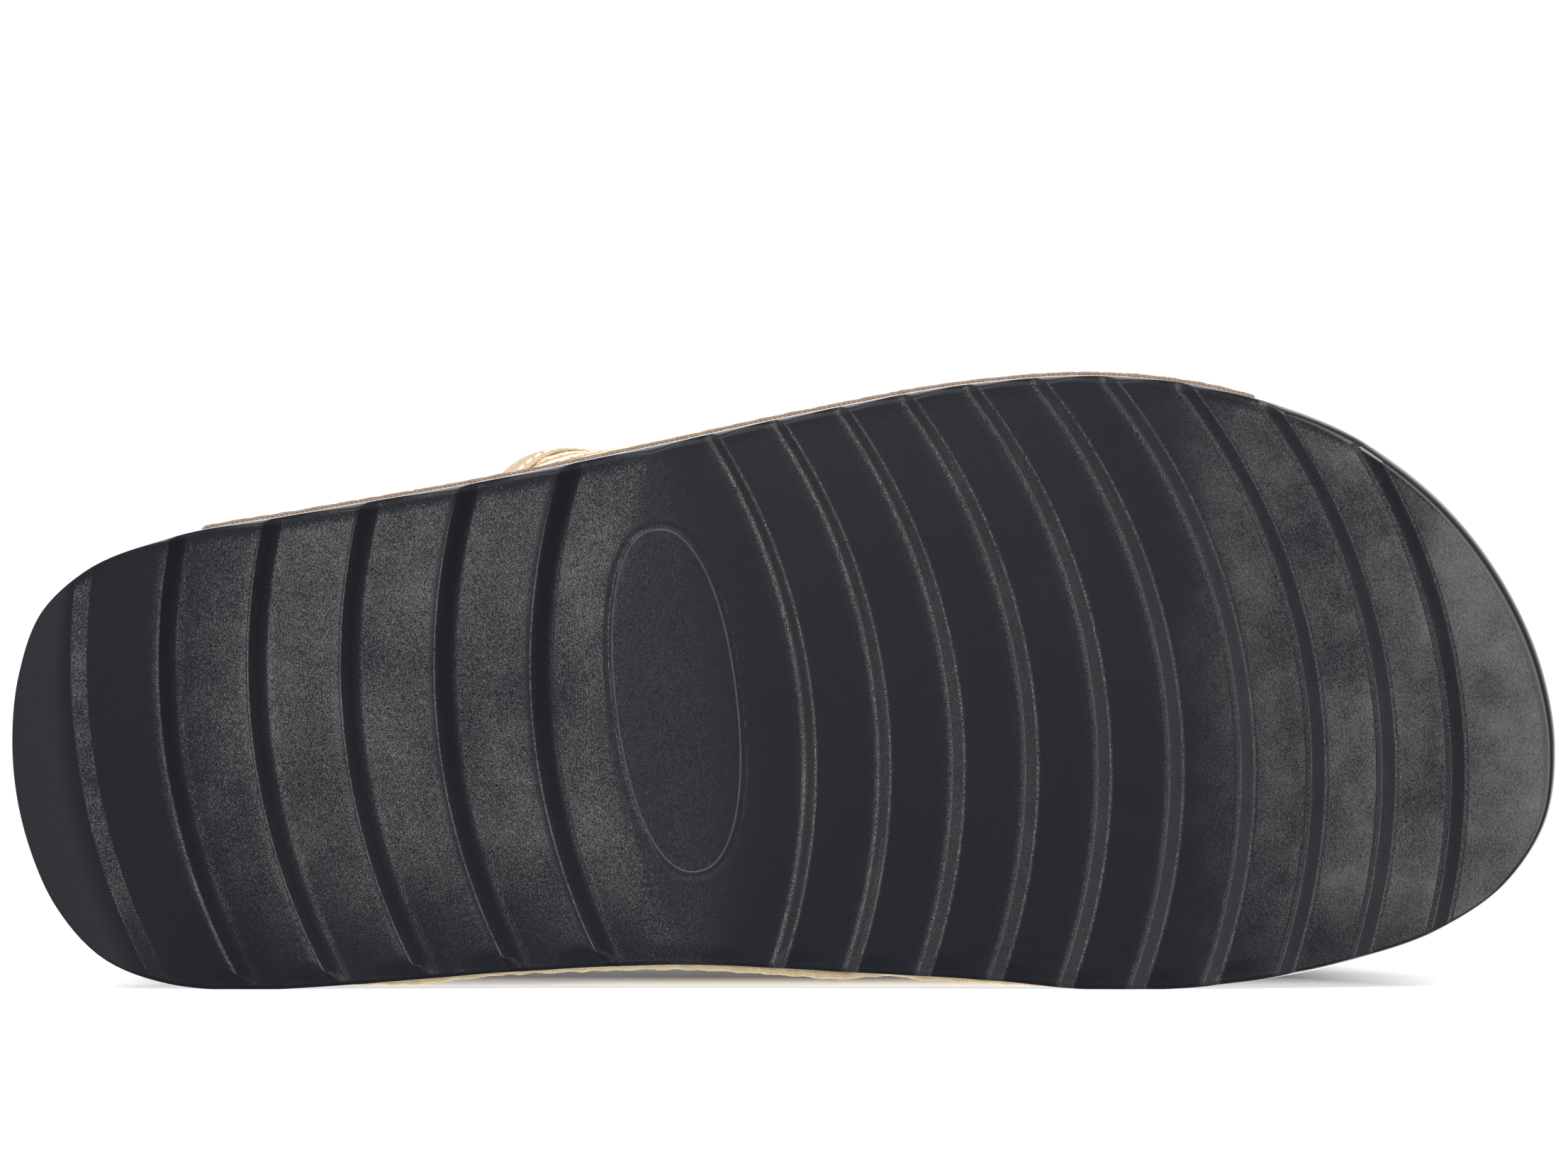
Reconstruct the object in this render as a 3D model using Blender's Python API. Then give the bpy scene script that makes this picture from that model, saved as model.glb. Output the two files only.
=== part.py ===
"""Strap slipper for the right foot, lying on its medial side.

Sizes are in millimetres until a mesh is made. Along runs from the heel tip to the toe,
height from the tread plane towards the foot, and across from the floor to the lateral side.
In the scene along is +X, height is +Y and across is +Z.
"""
import math
from collections import namedtuple

import bpy
import numpy as np

# Overall size and fits
MILLIMETRE = 0.001
SOLE_LENGTH = 275.0
GAP = 0.3

# Outline of the sole seen from below, clockwise from the heel tip: along, across
OUTLINE = [
    (0.0, 45.0), (1.2, 56.0), (5.4, 67.2), (13.0, 74.3), (28.0, 80.3), (50.8, 84.6),
    (81.0, 89.9), (111.4, 96.1), (141.7, 102.6), (171.9, 107.9), (194.0, 109.2), (217.4, 106.2),
    (240.1, 97.5), (255.2, 85.9), (266.0, 71.8), (272.9, 56.0), (275.0, 43.0), (273.2, 29.5),
    (265.7, 18.2), (254.5, 10.6), (236.0, 4.4), (217.0, 1.0), (205.0, 0.0), (191.0, 0.0),
    (176.0, 1.4), (149.0, 3.0), (119.0, 4.3), (90.0, 3.1), (62.0, 0.9), (47.0, 0.0),
    (36.0, 0.0), (28.1, 1.0), (17.0, 5.2), (8.2, 14.4), (2.9, 25.7),
]
OUTLINE_SAMPLES = 2400

# Height of the tread and of the midsole's seat along the sole
Station = namedtuple("Station", "along tread_lift seat_height")
STATIONS = [
    Station(0.0, 3.2, 24.6), Station(12.0, 0.9, 24.2), Station(28.0, 0.0, 23.8),
    Station(60.0, 0.0, 23.0), Station(100.0, 0.6, 21.4), Station(122.0, 0.9, 20.5),
    Station(148.0, 0.3, 19.4), Station(172.0, 0.0, 18.5), Station(198.0, 0.0, 18.2),
    Station(225.0, 1.6, 19.3), Station(250.0, 4.6, 21.5), Station(275.0, 9.0, 25.0),
]

# Tread ribs: sawtooth arcs, convex to the heel behind the waist and to the toe ahead of it;
# the first heel rib is a flat band in the bevelled heel end
HEEL_ARC_RADIUS = 117.5
HEEL_ARC_ACROSS = 58.2
HEEL_RIB_COUNT = 6
HEEL_FIRST_CREST = 10.5
HEEL_PITCH = 15.45
HEEL_PITCH_GROWTH = 0.17
HEEL_RAMP = 2.9
HEEL_RAMP_GROWTH = 0.2
HEEL_RIB_DEPTH = 2.0
HEEL_END_RELIEF = 3.3
HEEL_BAND_RELIEF = 2.6
FORE_ARC_RADIUS = 109.6
FORE_ARC_ACROSS = 39.6
FORE_RIB_COUNT = 10
FORE_FIRST_VALLEY = 141.3
FORE_PITCH = 13.15
FORE_PITCH_GROWTH = -0.04
FORE_RAMP = 2.2
FORE_RAMP_GROWTH = 0.12
FORE_RIB_DEPTH = 1.6
TOE_END_RELIEF = 1.6
WAIST_RIDGE = 119.0

# Grid of the sole: points across, and where the end rows of the heel and toe meet the sides
ACROSS_CELLS = 14
HEEL_CORNER = {"medial": 8.0, "lateral": 5.5}
TOE_CORNER = {"medial": 264.0, "lateral": 258.0}

# Side wall, and the rims that hold the midsole at toe and heel
EDGE_INSET = 1.3
EDGE_RISE = 3.5
WALL_FLARE = 0.4
RIM_HEIGHT = 4.0
RIM_WALL = 2.2
RIM_DRAFT = 0.6
RimEnds = namedtuple("RimEnds", "heel_full heel_end toe_end toe_full")
RIM_ENDS = {"lateral": RimEnds(22.0, 31.0, 224.5, 236.0), "medial": RimEnds(29.0, 40.0, 197.0, 210.0)}

# Midsole, a board wrapped in textile that shows as a strip between the rims
MIDSOLE_THICKNESS = 4.0
MIDSOLE_ROUND = 0.7
MIDSOLE_OVERHANG = {"lateral": 1.15, "medial": 1.7}
MIDSOLE_ENDS = {"lateral": (32.5, 222.5), "medial": (42.0, 195.0)}
MIDSOLE_END_LENGTH = 2.0
MIDSOLE_FLOOR_CLEARANCE = 0.25

# Insole, the sheet under the foot
INSOLE_THICKNESS = 2.4
INSOLE_INSET = 3.8
INSOLE_ROUND = 0.8
INSOLE_DISH = 1.8
INSOLE_DISH_WIDTH = 16.0

# Strap: one broad band; bulge is how far a side stands out past its foot
STRAP_WALL = 2.4
STRAP_INSET = 0.9
STRAP_ROWS = 12
STRAP_CELLS = 36
STRAP_SIDE_SHARE = 0.17
STRAP_SQUARENESS = 2.35
StrapSection = namedtuple(
    "StrapSection", "along crown_height crown_place widest_height medial_bulge lateral_bulge")
STRAP_SECTIONS = [
    StrapSection(80.0, 68.0, 0.47, 16.0, 3.4, 4.3), StrapSection(95.0, 67.0, 0.47, 16.0, 3.4, 3.8),
    StrapSection(106.0, 65.5, 0.46, 15.5, 3.2, 2.2), StrapSection(125.0, 62.5, 0.45, 15.0, 3.0, 1.9),
    StrapSection(150.0, 56.5, 0.43, 14.0, 3.0, 1.7), StrapSection(180.0, 48.0, 0.41, 13.0, 3.0, 1.5),
    StrapSection(215.0, 38.5, 0.39, 12.0, 3.0, 1.2),
]
StrapEdge = namedtuple("StrapEdge", "medial crown lateral")
STRAP_FRONT = StrapEdge(193.0, 211.0, 203.0)
STRAP_REAR = StrapEdge(92.0, 128.0, 85.5)

# Looks: base colour and roughness of each piece
Look = namedtuple("Look", "colour roughness")
LOOKS = {
    "outsole": Look((0.022, 0.024, 0.030, 1.0), 0.42),
    "midsole": Look((0.42, 0.26, 0.14, 1.0), 0.85),
    "insole": Look((0.45, 0.33, 0.20, 1.0), 0.80),
    "strap": Look((0.72, 0.60, 0.42, 1.0), 0.85),
}

Row = namedtuple("Row", "places medial lateral relief")


def smooth_step(value, start, end):
    """Ease from 0 at start to 1 at end."""
    share = np.clip((value - start) / (end - start), 0.0, 1.0)
    return share * share * (3.0 - 2.0 * share)


def hermite(share, first, first_slope, second, second_slope):
    """Cubic between two values with given slopes, over a share from 0 to 1."""
    square = share * share
    cube = square * share
    return ((2 * cube - 3 * square + 1) * first + (cube - 2 * square + share) * first_slope
            + (3 * square - 2 * cube) * second + (cube - square) * second_slope)


def table_value(table, column, along):
    """Smooth value of one column of a table whose first column is along."""
    stations = np.array([row.along for row in table])
    values = np.array([getattr(row, column) for row in table])
    slopes = np.gradient(values, stations)
    flat = np.diff(values) == 0.0
    slopes[:-1][flat] = 0.0
    slopes[1:][flat] = 0.0
    along = np.clip(along, stations[0], stations[-1])
    index = np.clip(np.searchsorted(stations, along) - 1, 0, len(stations) - 2)
    span = stations[index + 1] - stations[index]
    share = (along - stations[index]) / span
    return hermite(share, values[index], slopes[index] * span, values[index + 1], slopes[index + 1] * span)


def closed_curve(knots, samples):
    """Smooth closed curve through the knots, resampled at equal steps; it never dips below the floor."""
    knots = np.array(knots)
    after = np.roll(knots, -1, axis=0)
    chord = np.linalg.norm(after - knots, axis=1)[:, None]
    chord_before = np.roll(chord, 1, axis=0)
    step = after - knots
    step_before = np.roll(step, 1, axis=0)
    slope = (step_before / chord_before * chord + step / chord * chord_before) / (chord + chord_before)
    slope_after = np.roll(slope, -1, axis=0)
    pieces = []
    for share in np.linspace(0.0, 1.0, 60, endpoint=False):
        pieces.append(hermite(share, knots, slope * chord, after, slope_after * chord))
    dense = np.stack(pieces, axis=1).reshape(-1, 2)
    dense[:, 1] = np.maximum(dense[:, 1], 0.0)
    closed = np.vstack([dense, dense[:1]])
    length = np.concatenate([[0.0], np.cumsum(np.linalg.norm(np.diff(closed, axis=0), axis=1))])
    wanted = np.linspace(0.0, length[-1], samples, endpoint=False)
    return np.stack([np.interp(wanted, length, closed[:, axis]) for axis in (0, 1)], axis=1)


CURVE = closed_curve(OUTLINE, OUTLINE_SAMPLES)
TANGENT = np.roll(CURVE, -3, axis=0) - np.roll(CURVE, 3, axis=0)
TANGENT /= np.linalg.norm(TANGENT, axis=1)[:, None]
NORMAL = np.stack([-TANGENT[:, 1], TANGENT[:, 0]], axis=1)
TOE_INDEX = int(np.argmax(CURVE[:, 0]))
SIDE_INDEX = {
    "lateral": np.arange(0, TOE_INDEX + 1),
    "medial": np.arange(OUTLINE_SAMPLES, TOE_INDEX - 1, -1),
}


def read_curve(table, index):
    """Value of a table kept along the outline at fractional places."""
    index = np.asarray(index, dtype=float)
    low = np.floor(index).astype(int)
    share = (index - low)[..., None]
    return table[low % OUTLINE_SAMPLES] * (1.0 - share) + table[(low + 1) % OUTLINE_SAMPLES] * share


def outline_at(index, offset):
    """Points at a signed distance outside the outline."""
    return read_curve(CURVE, index) + read_curve(NORMAL, index) * np.asarray(offset)[..., None]


def heel_bend(across):
    """How far a heel arc lies ahead of its apex."""
    return HEEL_ARC_RADIUS - np.sqrt(HEEL_ARC_RADIUS ** 2 - (across - HEEL_ARC_ACROSS) ** 2)


def fore_bend(across):
    """How far a forefoot arc lies ahead of its apex, which is behind it."""
    return np.sqrt(FORE_ARC_RADIUS ** 2 - (across - FORE_ARC_ACROSS) ** 2) - FORE_ARC_RADIUS


def no_bend(across):
    """A straight row across the sole."""
    return np.zeros_like(across)


def waist_bend(across):
    """Halfway between the heel's and the forefoot's arcs."""
    return 0.5 * (heel_bend(across) + fore_bend(across))


def crossing(bend, apex, side):
    """Place on one side of the outline where an arc with this apex leaves the sole."""
    index = SIDE_INDEX[side]
    points = CURVE[index % OUTLINE_SAMPLES]
    level = points[:, 0] - bend(points[:, 1])
    last = np.nonzero(level <= apex)[0].max()
    last = min(last, len(index) - 2)
    share = (apex - level[last]) / (level[last + 1] - level[last])
    return index[last] + share * (index[last + 1] - index[last])


def arc_row(bend, apex, offset, relief, cells):
    """Row of points along an arc between the two sides."""
    medial = crossing(bend, apex, "medial")
    lateral = crossing(bend, apex, "lateral")
    ends = outline_at(np.array([medial, lateral]), offset(np.array([medial, lateral])))
    share = np.linspace(0.0, 1.0, cells + 1)
    across = ends[0, 1] + (ends[1, 1] - ends[0, 1]) * share
    along = apex + bend(across)
    along = along + (1.0 - share) * (ends[0, 0] - along[0]) + share * (ends[1, 0] - along[-1])
    return Row(np.stack([along, across], axis=1), medial, lateral, relief)


def end_row(corner, through, offset, relief, cells):
    """Row of points along the outline itself, round the heel tip or the toe tip."""
    medial = crossing(no_bend, corner["medial"], "medial")
    lateral = crossing(no_bend, corner["lateral"], "lateral")
    last = lateral + OUTLINE_SAMPLES if through == "heel" else lateral
    index = np.linspace(medial, last, cells + 1)
    return Row(outline_at(index, offset(index)), medial, lateral, relief)


def fill_rows(keys, counts, offset):
    """All rows of a grid: key rows, with the given number of steps between each two."""
    rows = [keys[0]]
    for first, second, count in zip(keys[:-1], keys[1:], counts):
        share_across = np.linspace(0.0, 1.0, len(first.places))[:, None]
        for step in range(1, count):
            share = step / count
            medial = first.medial + (second.medial - first.medial) * share
            lateral = first.lateral + (second.lateral - first.lateral) * share
            ends = outline_at(np.array([medial, lateral]), offset(np.array([medial, lateral])))
            blend = first.places * (1.0 - share) + second.places * share
            blend = (blend + (1.0 - share_across) * (ends[0] - blend[0])
                     + share_across * (ends[1] - blend[-1]))
            relief = first.relief + (second.relief - first.relief) * share
            rows.append(Row(blend, medial, lateral, relief))
        rows.append(second)
    return rows


def tread_keys(offset, cells):
    """Key rows of the tread: each rib's crest and valley from heel to toe, and the steps between them."""
    keys = [end_row(HEEL_CORNER, "heel", offset, HEEL_END_RELIEF, cells)]
    counts = []
    for rib in range(HEEL_RIB_COUNT):
        crest = HEEL_FIRST_CREST + rib * (HEEL_PITCH + HEEL_PITCH_GROWTH * rib)
        ramp = HEEL_RAMP + HEEL_RAMP_GROWTH * rib
        crest_relief = HEEL_BAND_RELIEF if rib == 0 else 0.0
        valley_relief = HEEL_BAND_RELIEF if rib == 0 else HEEL_RIB_DEPTH
        keys.append(arc_row(heel_bend, crest, offset, crest_relief, cells))
        keys.append(arc_row(heel_bend, crest + ramp, offset, valley_relief, cells))
        counts += [4 if rib == 0 else 2, 1]
    keys.append(arc_row(waist_bend, WAIST_RIDGE, offset, 0.0, cells))
    counts.append(4)
    for rib in range(FORE_RIB_COUNT):
        valley = FORE_FIRST_VALLEY + rib * (FORE_PITCH + FORE_PITCH_GROWTH * rib)
        ramp = FORE_RAMP + FORE_RAMP_GROWTH * rib
        keys.append(arc_row(fore_bend, valley, offset, FORE_RIB_DEPTH, cells))
        keys.append(arc_row(fore_bend, valley + ramp, offset, 0.0, cells))
        counts += [4 if rib == 0 else 2, 1]
    keys.append(end_row(TOE_CORNER, "toe", offset, TOE_END_RELIEF, cells))
    counts.append(3)
    return keys, counts


def grid_loop(table):
    """Outer loop of a grid kept as rows: medial side, toe row, lateral side, heel row."""
    return np.concatenate([table[:, 0], table[-1, 1:], table[-2::-1, -1], table[0, -2:0:-1]])


def loop_places(rows):
    """Places on the outline of the outer loop of a grid."""
    cells = len(rows[0].places) - 1
    medial = [row.medial for row in rows]
    lateral = [row.lateral for row in rows]
    toe = np.linspace(rows[-1].medial, rows[-1].lateral, cells + 1)[1:-1]
    heel = np.linspace(rows[0].medial, rows[0].lateral + OUTLINE_SAMPLES, cells + 1)[-2:0:-1]
    return np.concatenate([medial, toe, lateral[::-1], heel])


def with_height(places, height):
    """Along, height, across from places in the plane of the sole and their heights."""
    return np.stack([places[..., 0], np.broadcast_to(height, places.shape[:-1]), places[..., 1]], axis=-1)


def solid_mesh(name, bottom, rings, top):
    """Closed mesh from a lower grid, rings of the side from low to high, and an upper grid."""
    rows, columns = bottom.shape[:2]
    loop = len(rings[0]) if rings else 2 * (rows + columns) - 4
    parts = [bottom.reshape(-1, 3)] + list(rings) + [top.reshape(-1, 3)]
    points = np.vstack(parts)
    lower_ids = np.arange(rows * columns).reshape(rows, columns)
    upper_ids = lower_ids + rows * columns + loop * len(rings)
    faces = []
    for ids, facing_down in ((lower_ids, True), (upper_ids, False)):
        for row in range(rows - 1):
            for column in range(columns - 1):
                face = [ids[row, column], ids[row + 1, column], ids[row + 1, column + 1], ids[row, column + 1]]
                faces.append(face if facing_down else face[::-1])
    bands = [grid_loop(lower_ids)]
    for ring in range(len(rings)):
        bands.append(rows * columns + ring * loop + np.arange(loop))
    bands.append(grid_loop(upper_ids))
    for low, high in zip(bands[:-1], bands[1:]):
        for here in range(loop):
            after = (here + 1) % loop
            faces.append([low[here], high[here], high[after], low[after]])
    mesh = bpy.data.meshes.new(name)
    corners = [[int(corner) for corner in face] for face in faces]
    mesh.from_pydata([tuple(point) for point in points * MILLIMETRE], [], corners)
    mesh.update()
    return mesh


def side_share(index):
    """1 on the lateral half of the outline, 0 on the medial half."""
    return (np.asarray(index) % OUTLINE_SAMPLES) <= TOE_INDEX


def seat_height(along):
    """Height of the outsole's upper face under the midsole."""
    return table_value(STATIONS, "seat_height", along)


def tread_lift(along):
    """Toe spring, arch and heel bevel of the tread."""
    return table_value(STATIONS, "tread_lift", along)


def rim_share(index):
    """1 where the toe or heel rim is full, 0 between the rims."""
    along = read_curve(CURVE, index)[..., 0]
    shares = {}
    for side, ends in RIM_ENDS.items():
        heel = 1.0 - smooth_step(along, ends.heel_full, ends.heel_end)
        shares[side] = heel + smooth_step(along, ends.toe_end, ends.toe_full)
    return np.where(side_share(index), shares["lateral"], shares["medial"])


def edge_offset(relief):
    """Distance of the tread's edge from the outline: a valley cuts further out over the rounded edge."""
    return -EDGE_INSET * (1.0 - np.asarray(relief) / EDGE_RISE) ** 2


def outsole_mesh():
    """Ribbed tread, side wall, rims and seat."""
    tread_offset = lambda index: np.full(np.shape(index), -EDGE_INSET)
    seat_offset = lambda index: np.full(np.shape(index), -RIM_WALL - RIM_DRAFT)
    keys, counts = tread_keys(tread_offset, ACROSS_CELLS)
    rows = fill_rows(keys, counts, tread_offset)
    seat_keys, seat_counts = tread_keys(seat_offset, ACROSS_CELLS)
    seat_rows = fill_rows(seat_keys, seat_counts, seat_offset)
    places = np.stack([row.places for row in rows])
    relief = np.stack([np.full(ACROSS_CELLS + 1, row.relief) for row in rows])
    index = loop_places(rows)
    edge = outline_at(index, edge_offset(grid_loop(relief)))
    count = len(rows)
    places[:, 0] = edge[:count]
    places[-1, 1:] = edge[count:count + ACROSS_CELLS]
    places[-2::-1, -1] = edge[count + ACROSS_CELLS:2 * count + ACROSS_CELLS - 1]
    places[0, -2:0:-1] = edge[2 * count + ACROSS_CELLS - 1:]
    bottom = with_height(places, tread_lift(places[..., 0]) + relief)
    on_outline = read_curve(CURVE, index)
    flare = WALL_FLARE * smooth_step(on_outline[:, 1], 6.0, 30.0)
    low_wall = outline_at(index, -flare)
    wall = outline_at(index, np.zeros(len(index)))
    rim_inner = outline_at(index, np.full(len(index), -RIM_WALL))
    rim_top = seat_height(on_outline[:, 0]) + RIM_HEIGHT * rim_share(index)
    rings = [
        with_height(low_wall, tread_lift(low_wall[:, 0]) + EDGE_RISE),
        with_height(wall, rim_top),
        with_height(rim_inner, rim_top),
    ]
    seat_places = np.stack([row.places for row in seat_rows])
    top = with_height(seat_places, seat_height(seat_places[..., 0]))
    return solid_mesh("outsole", bottom, rings, top)


def midsole_offset(index):
    """Overhang of the wrapped edge between the rims, and its inset inside them."""
    index = np.asarray(index, dtype=float)
    place = read_curve(CURVE, index)
    inside = -RIM_WALL - RIM_DRAFT - GAP
    offsets = {}
    for side, (heel_end, toe_end) in MIDSOLE_ENDS.items():
        half = MIDSOLE_END_LENGTH / 2.0
        shown = (smooth_step(place[..., 0], heel_end - half, heel_end + half)
                 - smooth_step(place[..., 0], toe_end - half, toe_end + half))
        reach = np.full(np.shape(shown), MIDSOLE_OVERHANG[side])
        if side == "medial":
            reach = np.minimum(reach, place[..., 1] - MIDSOLE_FLOOR_CLEARANCE)
        offsets[side] = inside + (reach - inside) * shown
    return np.where(side_share(index), offsets["lateral"], offsets["medial"])


def insole_offset(index):
    """Constant inset of the insole, inside the strap."""
    return np.full(np.shape(index), -INSOLE_INSET)


def sheet_rows(offset, cells):
    """Straight rows of a sheet under the foot, closer together at the ends of the shown edge."""
    stations = set(np.arange(24.0, 257.0, 11.0))
    for heel_end, toe_end in MIDSOLE_ENDS.values():
        for end in (heel_end, toe_end):
            stations = {place for place in stations if abs(place - end) > 4.0}
            stations |= {end - MIDSOLE_END_LENGTH / 2, end + MIDSOLE_END_LENGTH / 2}
    keys = [end_row(HEEL_CORNER, "heel", offset, 0.0, cells)]
    keys += [arc_row(no_bend, along, offset, 0.0, cells) for along in sorted(stations)]
    keys.append(end_row(TOE_CORNER, "toe", offset, 0.0, cells))
    counts = [3] + [1] * (len(stations) - 1) + [2]
    return fill_rows(keys, counts, offset)


def edge_distance(places, edge):
    """Distance of each grid point from the nearest point of the edge."""
    apart = places[..., None, :] - edge
    return np.sqrt((apart ** 2).sum(axis=-1)).min(axis=-1)


def sheet_mesh(name, offset, base, thickness, edge_round, cells, dish=0.0):
    """Sheet that follows the seat, with a rounded edge; a dish raises its upper face towards the edge."""
    inner = lambda index: offset(index) - edge_round
    rows = sheet_rows(inner, cells)
    places = np.stack([row.places for row in rows])
    index = loop_places(rows)
    edge = outline_at(index, offset(index))
    seat = seat_height(places[..., 0]) + base
    edge_seat = seat_height(edge[:, 0]) + base
    corner = min(edge_round, 0.3 * thickness)
    raised = dish * (1.0 - smooth_step(edge_distance(places, edge), edge_round, INSOLE_DISH_WIDTH))
    rings = [
        with_height(edge, edge_seat + corner),
        with_height(edge, edge_seat + thickness + dish - corner),
    ]
    return solid_mesh(name, with_height(places, seat), rings, with_height(places, seat + thickness + raised))


def side_across(along, side):
    """Across place of one side of the outline at an along place."""
    index = SIDE_INDEX[side] % OUTLINE_SAMPLES
    points = CURVE[index]
    return np.interp(along, points[:, 0], points[:, 1])


def strap_edge(edge, share):
    """Along place of the strap's front or rear edge, from the sides up to the crown."""
    up = 1.0 - abs(2.0 * share - 1.0)
    side = edge.medial if share < 0.5 else edge.lateral
    return side + (edge.crown - side) * math.sin(up * math.pi / 2.0) ** 1.2


def strap_point(front_to_rear, share):
    """Point on the strap's outer face; share runs from the medial foot over the crown to the lateral foot."""
    front = strap_edge(STRAP_FRONT, share)
    along = front + (strap_edge(STRAP_REAR, share) - front) * front_to_rear
    section = {name: float(table_value(STRAP_SECTIONS, name, np.array(along)))
               for name in StrapSection._fields[1:]}
    foot = {"medial": side_across(along, "medial") + STRAP_INSET,
            "lateral": side_across(along, "lateral") - STRAP_INSET}
    widest = {"medial": max(0.0, foot["medial"] - section["medial_bulge"]),
              "lateral": foot["lateral"] + section["lateral_bulge"]}
    crown = foot["medial"] + (foot["lateral"] - foot["medial"]) * section["crown_place"]
    base = float(seat_height(along)) + MIDSOLE_THICKNESS + 2.0 * GAP
    side = "medial" if share < 0.5 else "lateral"
    up = 1.0 - abs(2.0 * share - 1.0)
    if up < STRAP_SIDE_SHARE:
        turn = up / STRAP_SIDE_SHARE
        across = foot[side] + (widest[side] - foot[side]) * math.sin(turn * math.pi / 2.0)
        return along, base + section["widest_height"] * turn, across
    turn = (up - STRAP_SIDE_SHARE) / (1.0 - STRAP_SIDE_SHARE) * math.pi / 2.0
    power = 2.0 / STRAP_SQUARENESS
    across = crown + (widest[side] - crown) * max(0.0, math.cos(turn)) ** power
    rise = (section["crown_height"] - section["widest_height"]) * math.sin(turn) ** power
    return along, base + section["widest_height"] + rise, across


def strap_shares():
    """Shares round the band, evenly spaced by length along its middle row."""
    fine = np.linspace(0.0, 1.0, 401)
    points = np.array([strap_point(0.5, share) for share in fine])
    length = np.concatenate([[0.0], np.cumsum(np.linalg.norm(np.diff(points, axis=0), axis=1))])
    return np.interp(np.linspace(0.0, length[-1], STRAP_CELLS + 1), length, fine)


def strap_mesh():
    """Outer face of the band as a sheet; its wall is added inwards."""
    shares = strap_shares()
    lines = np.linspace(0.0, 1.0, STRAP_ROWS + 1)
    points = np.array([[strap_point(line, share) for share in shares] for line in lines])
    ids = np.arange(points.shape[0] * points.shape[1]).reshape(points.shape[:2])
    faces = []
    for row in range(STRAP_ROWS):
        for cell in range(STRAP_CELLS):
            corners = [ids[row, cell], ids[row + 1, cell], ids[row + 1, cell + 1], ids[row, cell + 1]]
            faces.append([int(corner) for corner in corners])
    mesh = bpy.data.meshes.new("strap")
    mesh.from_pydata([tuple(point) for point in points.reshape(-1, 3) * MILLIMETRE], [], faces)
    mesh.update()
    return mesh


def make_material(name):
    """Plain material with a piece's colour and roughness."""
    material = bpy.data.materials.new(name)
    material.use_nodes = True
    shader = material.node_tree.nodes["Principled BSDF"]
    shader.inputs["Base Color"].default_value = LOOKS[name].colour
    shader.inputs["Roughness"].default_value = LOOKS[name].roughness
    shader.inputs["Metallic"].default_value = 0.0
    return material


def add_piece(mesh, parent, smooth_angle):
    """Named object for one piece, shaded smooth up to an angle."""
    piece = bpy.data.objects.new(mesh.name, mesh)
    bpy.context.scene.collection.objects.link(piece)
    piece.parent = parent
    mesh.materials.append(make_material(mesh.name))
    mesh.shade_smooth()
    mesh.set_sharp_from_angle(angle=math.radians(smooth_angle))
    return piece


def build():
    """All pieces of the slipper, with the origin under the middle of its box."""
    for old in list(bpy.data.objects):
        bpy.data.objects.remove(old, do_unlink=True)
    base = bpy.data.objects.new("slipper", None)
    bpy.context.scene.collection.objects.link(base)
    outsole = add_piece(outsole_mesh(), base, 20.0)
    add_piece(sheet_mesh("midsole", midsole_offset, GAP, MIDSOLE_THICKNESS, MIDSOLE_ROUND, 8), base, 40.0)
    insole_base = MIDSOLE_THICKNESS + 2.0 * GAP
    insole = sheet_mesh("insole", insole_offset, insole_base, INSOLE_THICKNESS, INSOLE_ROUND, 12, INSOLE_DISH)
    add_piece(insole, base, 40.0)
    strap = add_piece(strap_mesh(), base, 50.0)
    wall = strap.modifiers.new("wall", "SOLIDIFY")
    wall.thickness = STRAP_WALL * MILLIMETRE
    wall.offset = -1.0
    wall.use_even_offset = True
    wall.use_quality_normals = True
    heights = [point.co.y for piece in (outsole, strap) for point in piece.data.vertices]
    base.location = (-SOLE_LENGTH / 2.0 * MILLIMETRE, -(min(heights) + max(heights)) / 2.0, 0.0)
    bpy.context.view_layer.update()


build()
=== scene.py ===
"""Strap slipper for the right foot, lying on its medial side, dressed for the picture.

Sizes are in millimetres until a mesh is made. Along runs from the heel tip to the toe,
height from the tread plane towards the foot, and across from the floor to the lateral side.
In the scene along is +X, height is +Y and across is +Z. The apex of an arc of the tread is
its along place where the arc bends least.
"""
import math
from collections import namedtuple

import bmesh
import bpy
import numpy as np
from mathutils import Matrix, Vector


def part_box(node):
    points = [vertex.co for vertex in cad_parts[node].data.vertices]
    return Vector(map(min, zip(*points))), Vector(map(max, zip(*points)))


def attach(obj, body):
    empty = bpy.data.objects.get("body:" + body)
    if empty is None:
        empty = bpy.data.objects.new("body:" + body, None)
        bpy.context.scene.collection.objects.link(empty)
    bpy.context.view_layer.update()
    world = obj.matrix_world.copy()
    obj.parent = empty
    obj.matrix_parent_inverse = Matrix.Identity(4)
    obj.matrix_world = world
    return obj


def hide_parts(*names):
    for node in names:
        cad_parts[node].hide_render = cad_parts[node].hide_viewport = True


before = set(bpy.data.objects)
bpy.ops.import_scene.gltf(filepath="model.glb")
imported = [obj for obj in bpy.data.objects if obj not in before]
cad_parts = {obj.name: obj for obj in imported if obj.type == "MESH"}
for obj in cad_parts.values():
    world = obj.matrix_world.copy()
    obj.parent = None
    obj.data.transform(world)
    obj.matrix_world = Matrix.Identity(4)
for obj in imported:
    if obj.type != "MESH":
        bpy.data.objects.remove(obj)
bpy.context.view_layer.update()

MILLIMETRE = 0.001
SOLE_LENGTH = 275.0
TREAD_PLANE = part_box("outsole")[0][1] / MILLIMETRE

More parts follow.
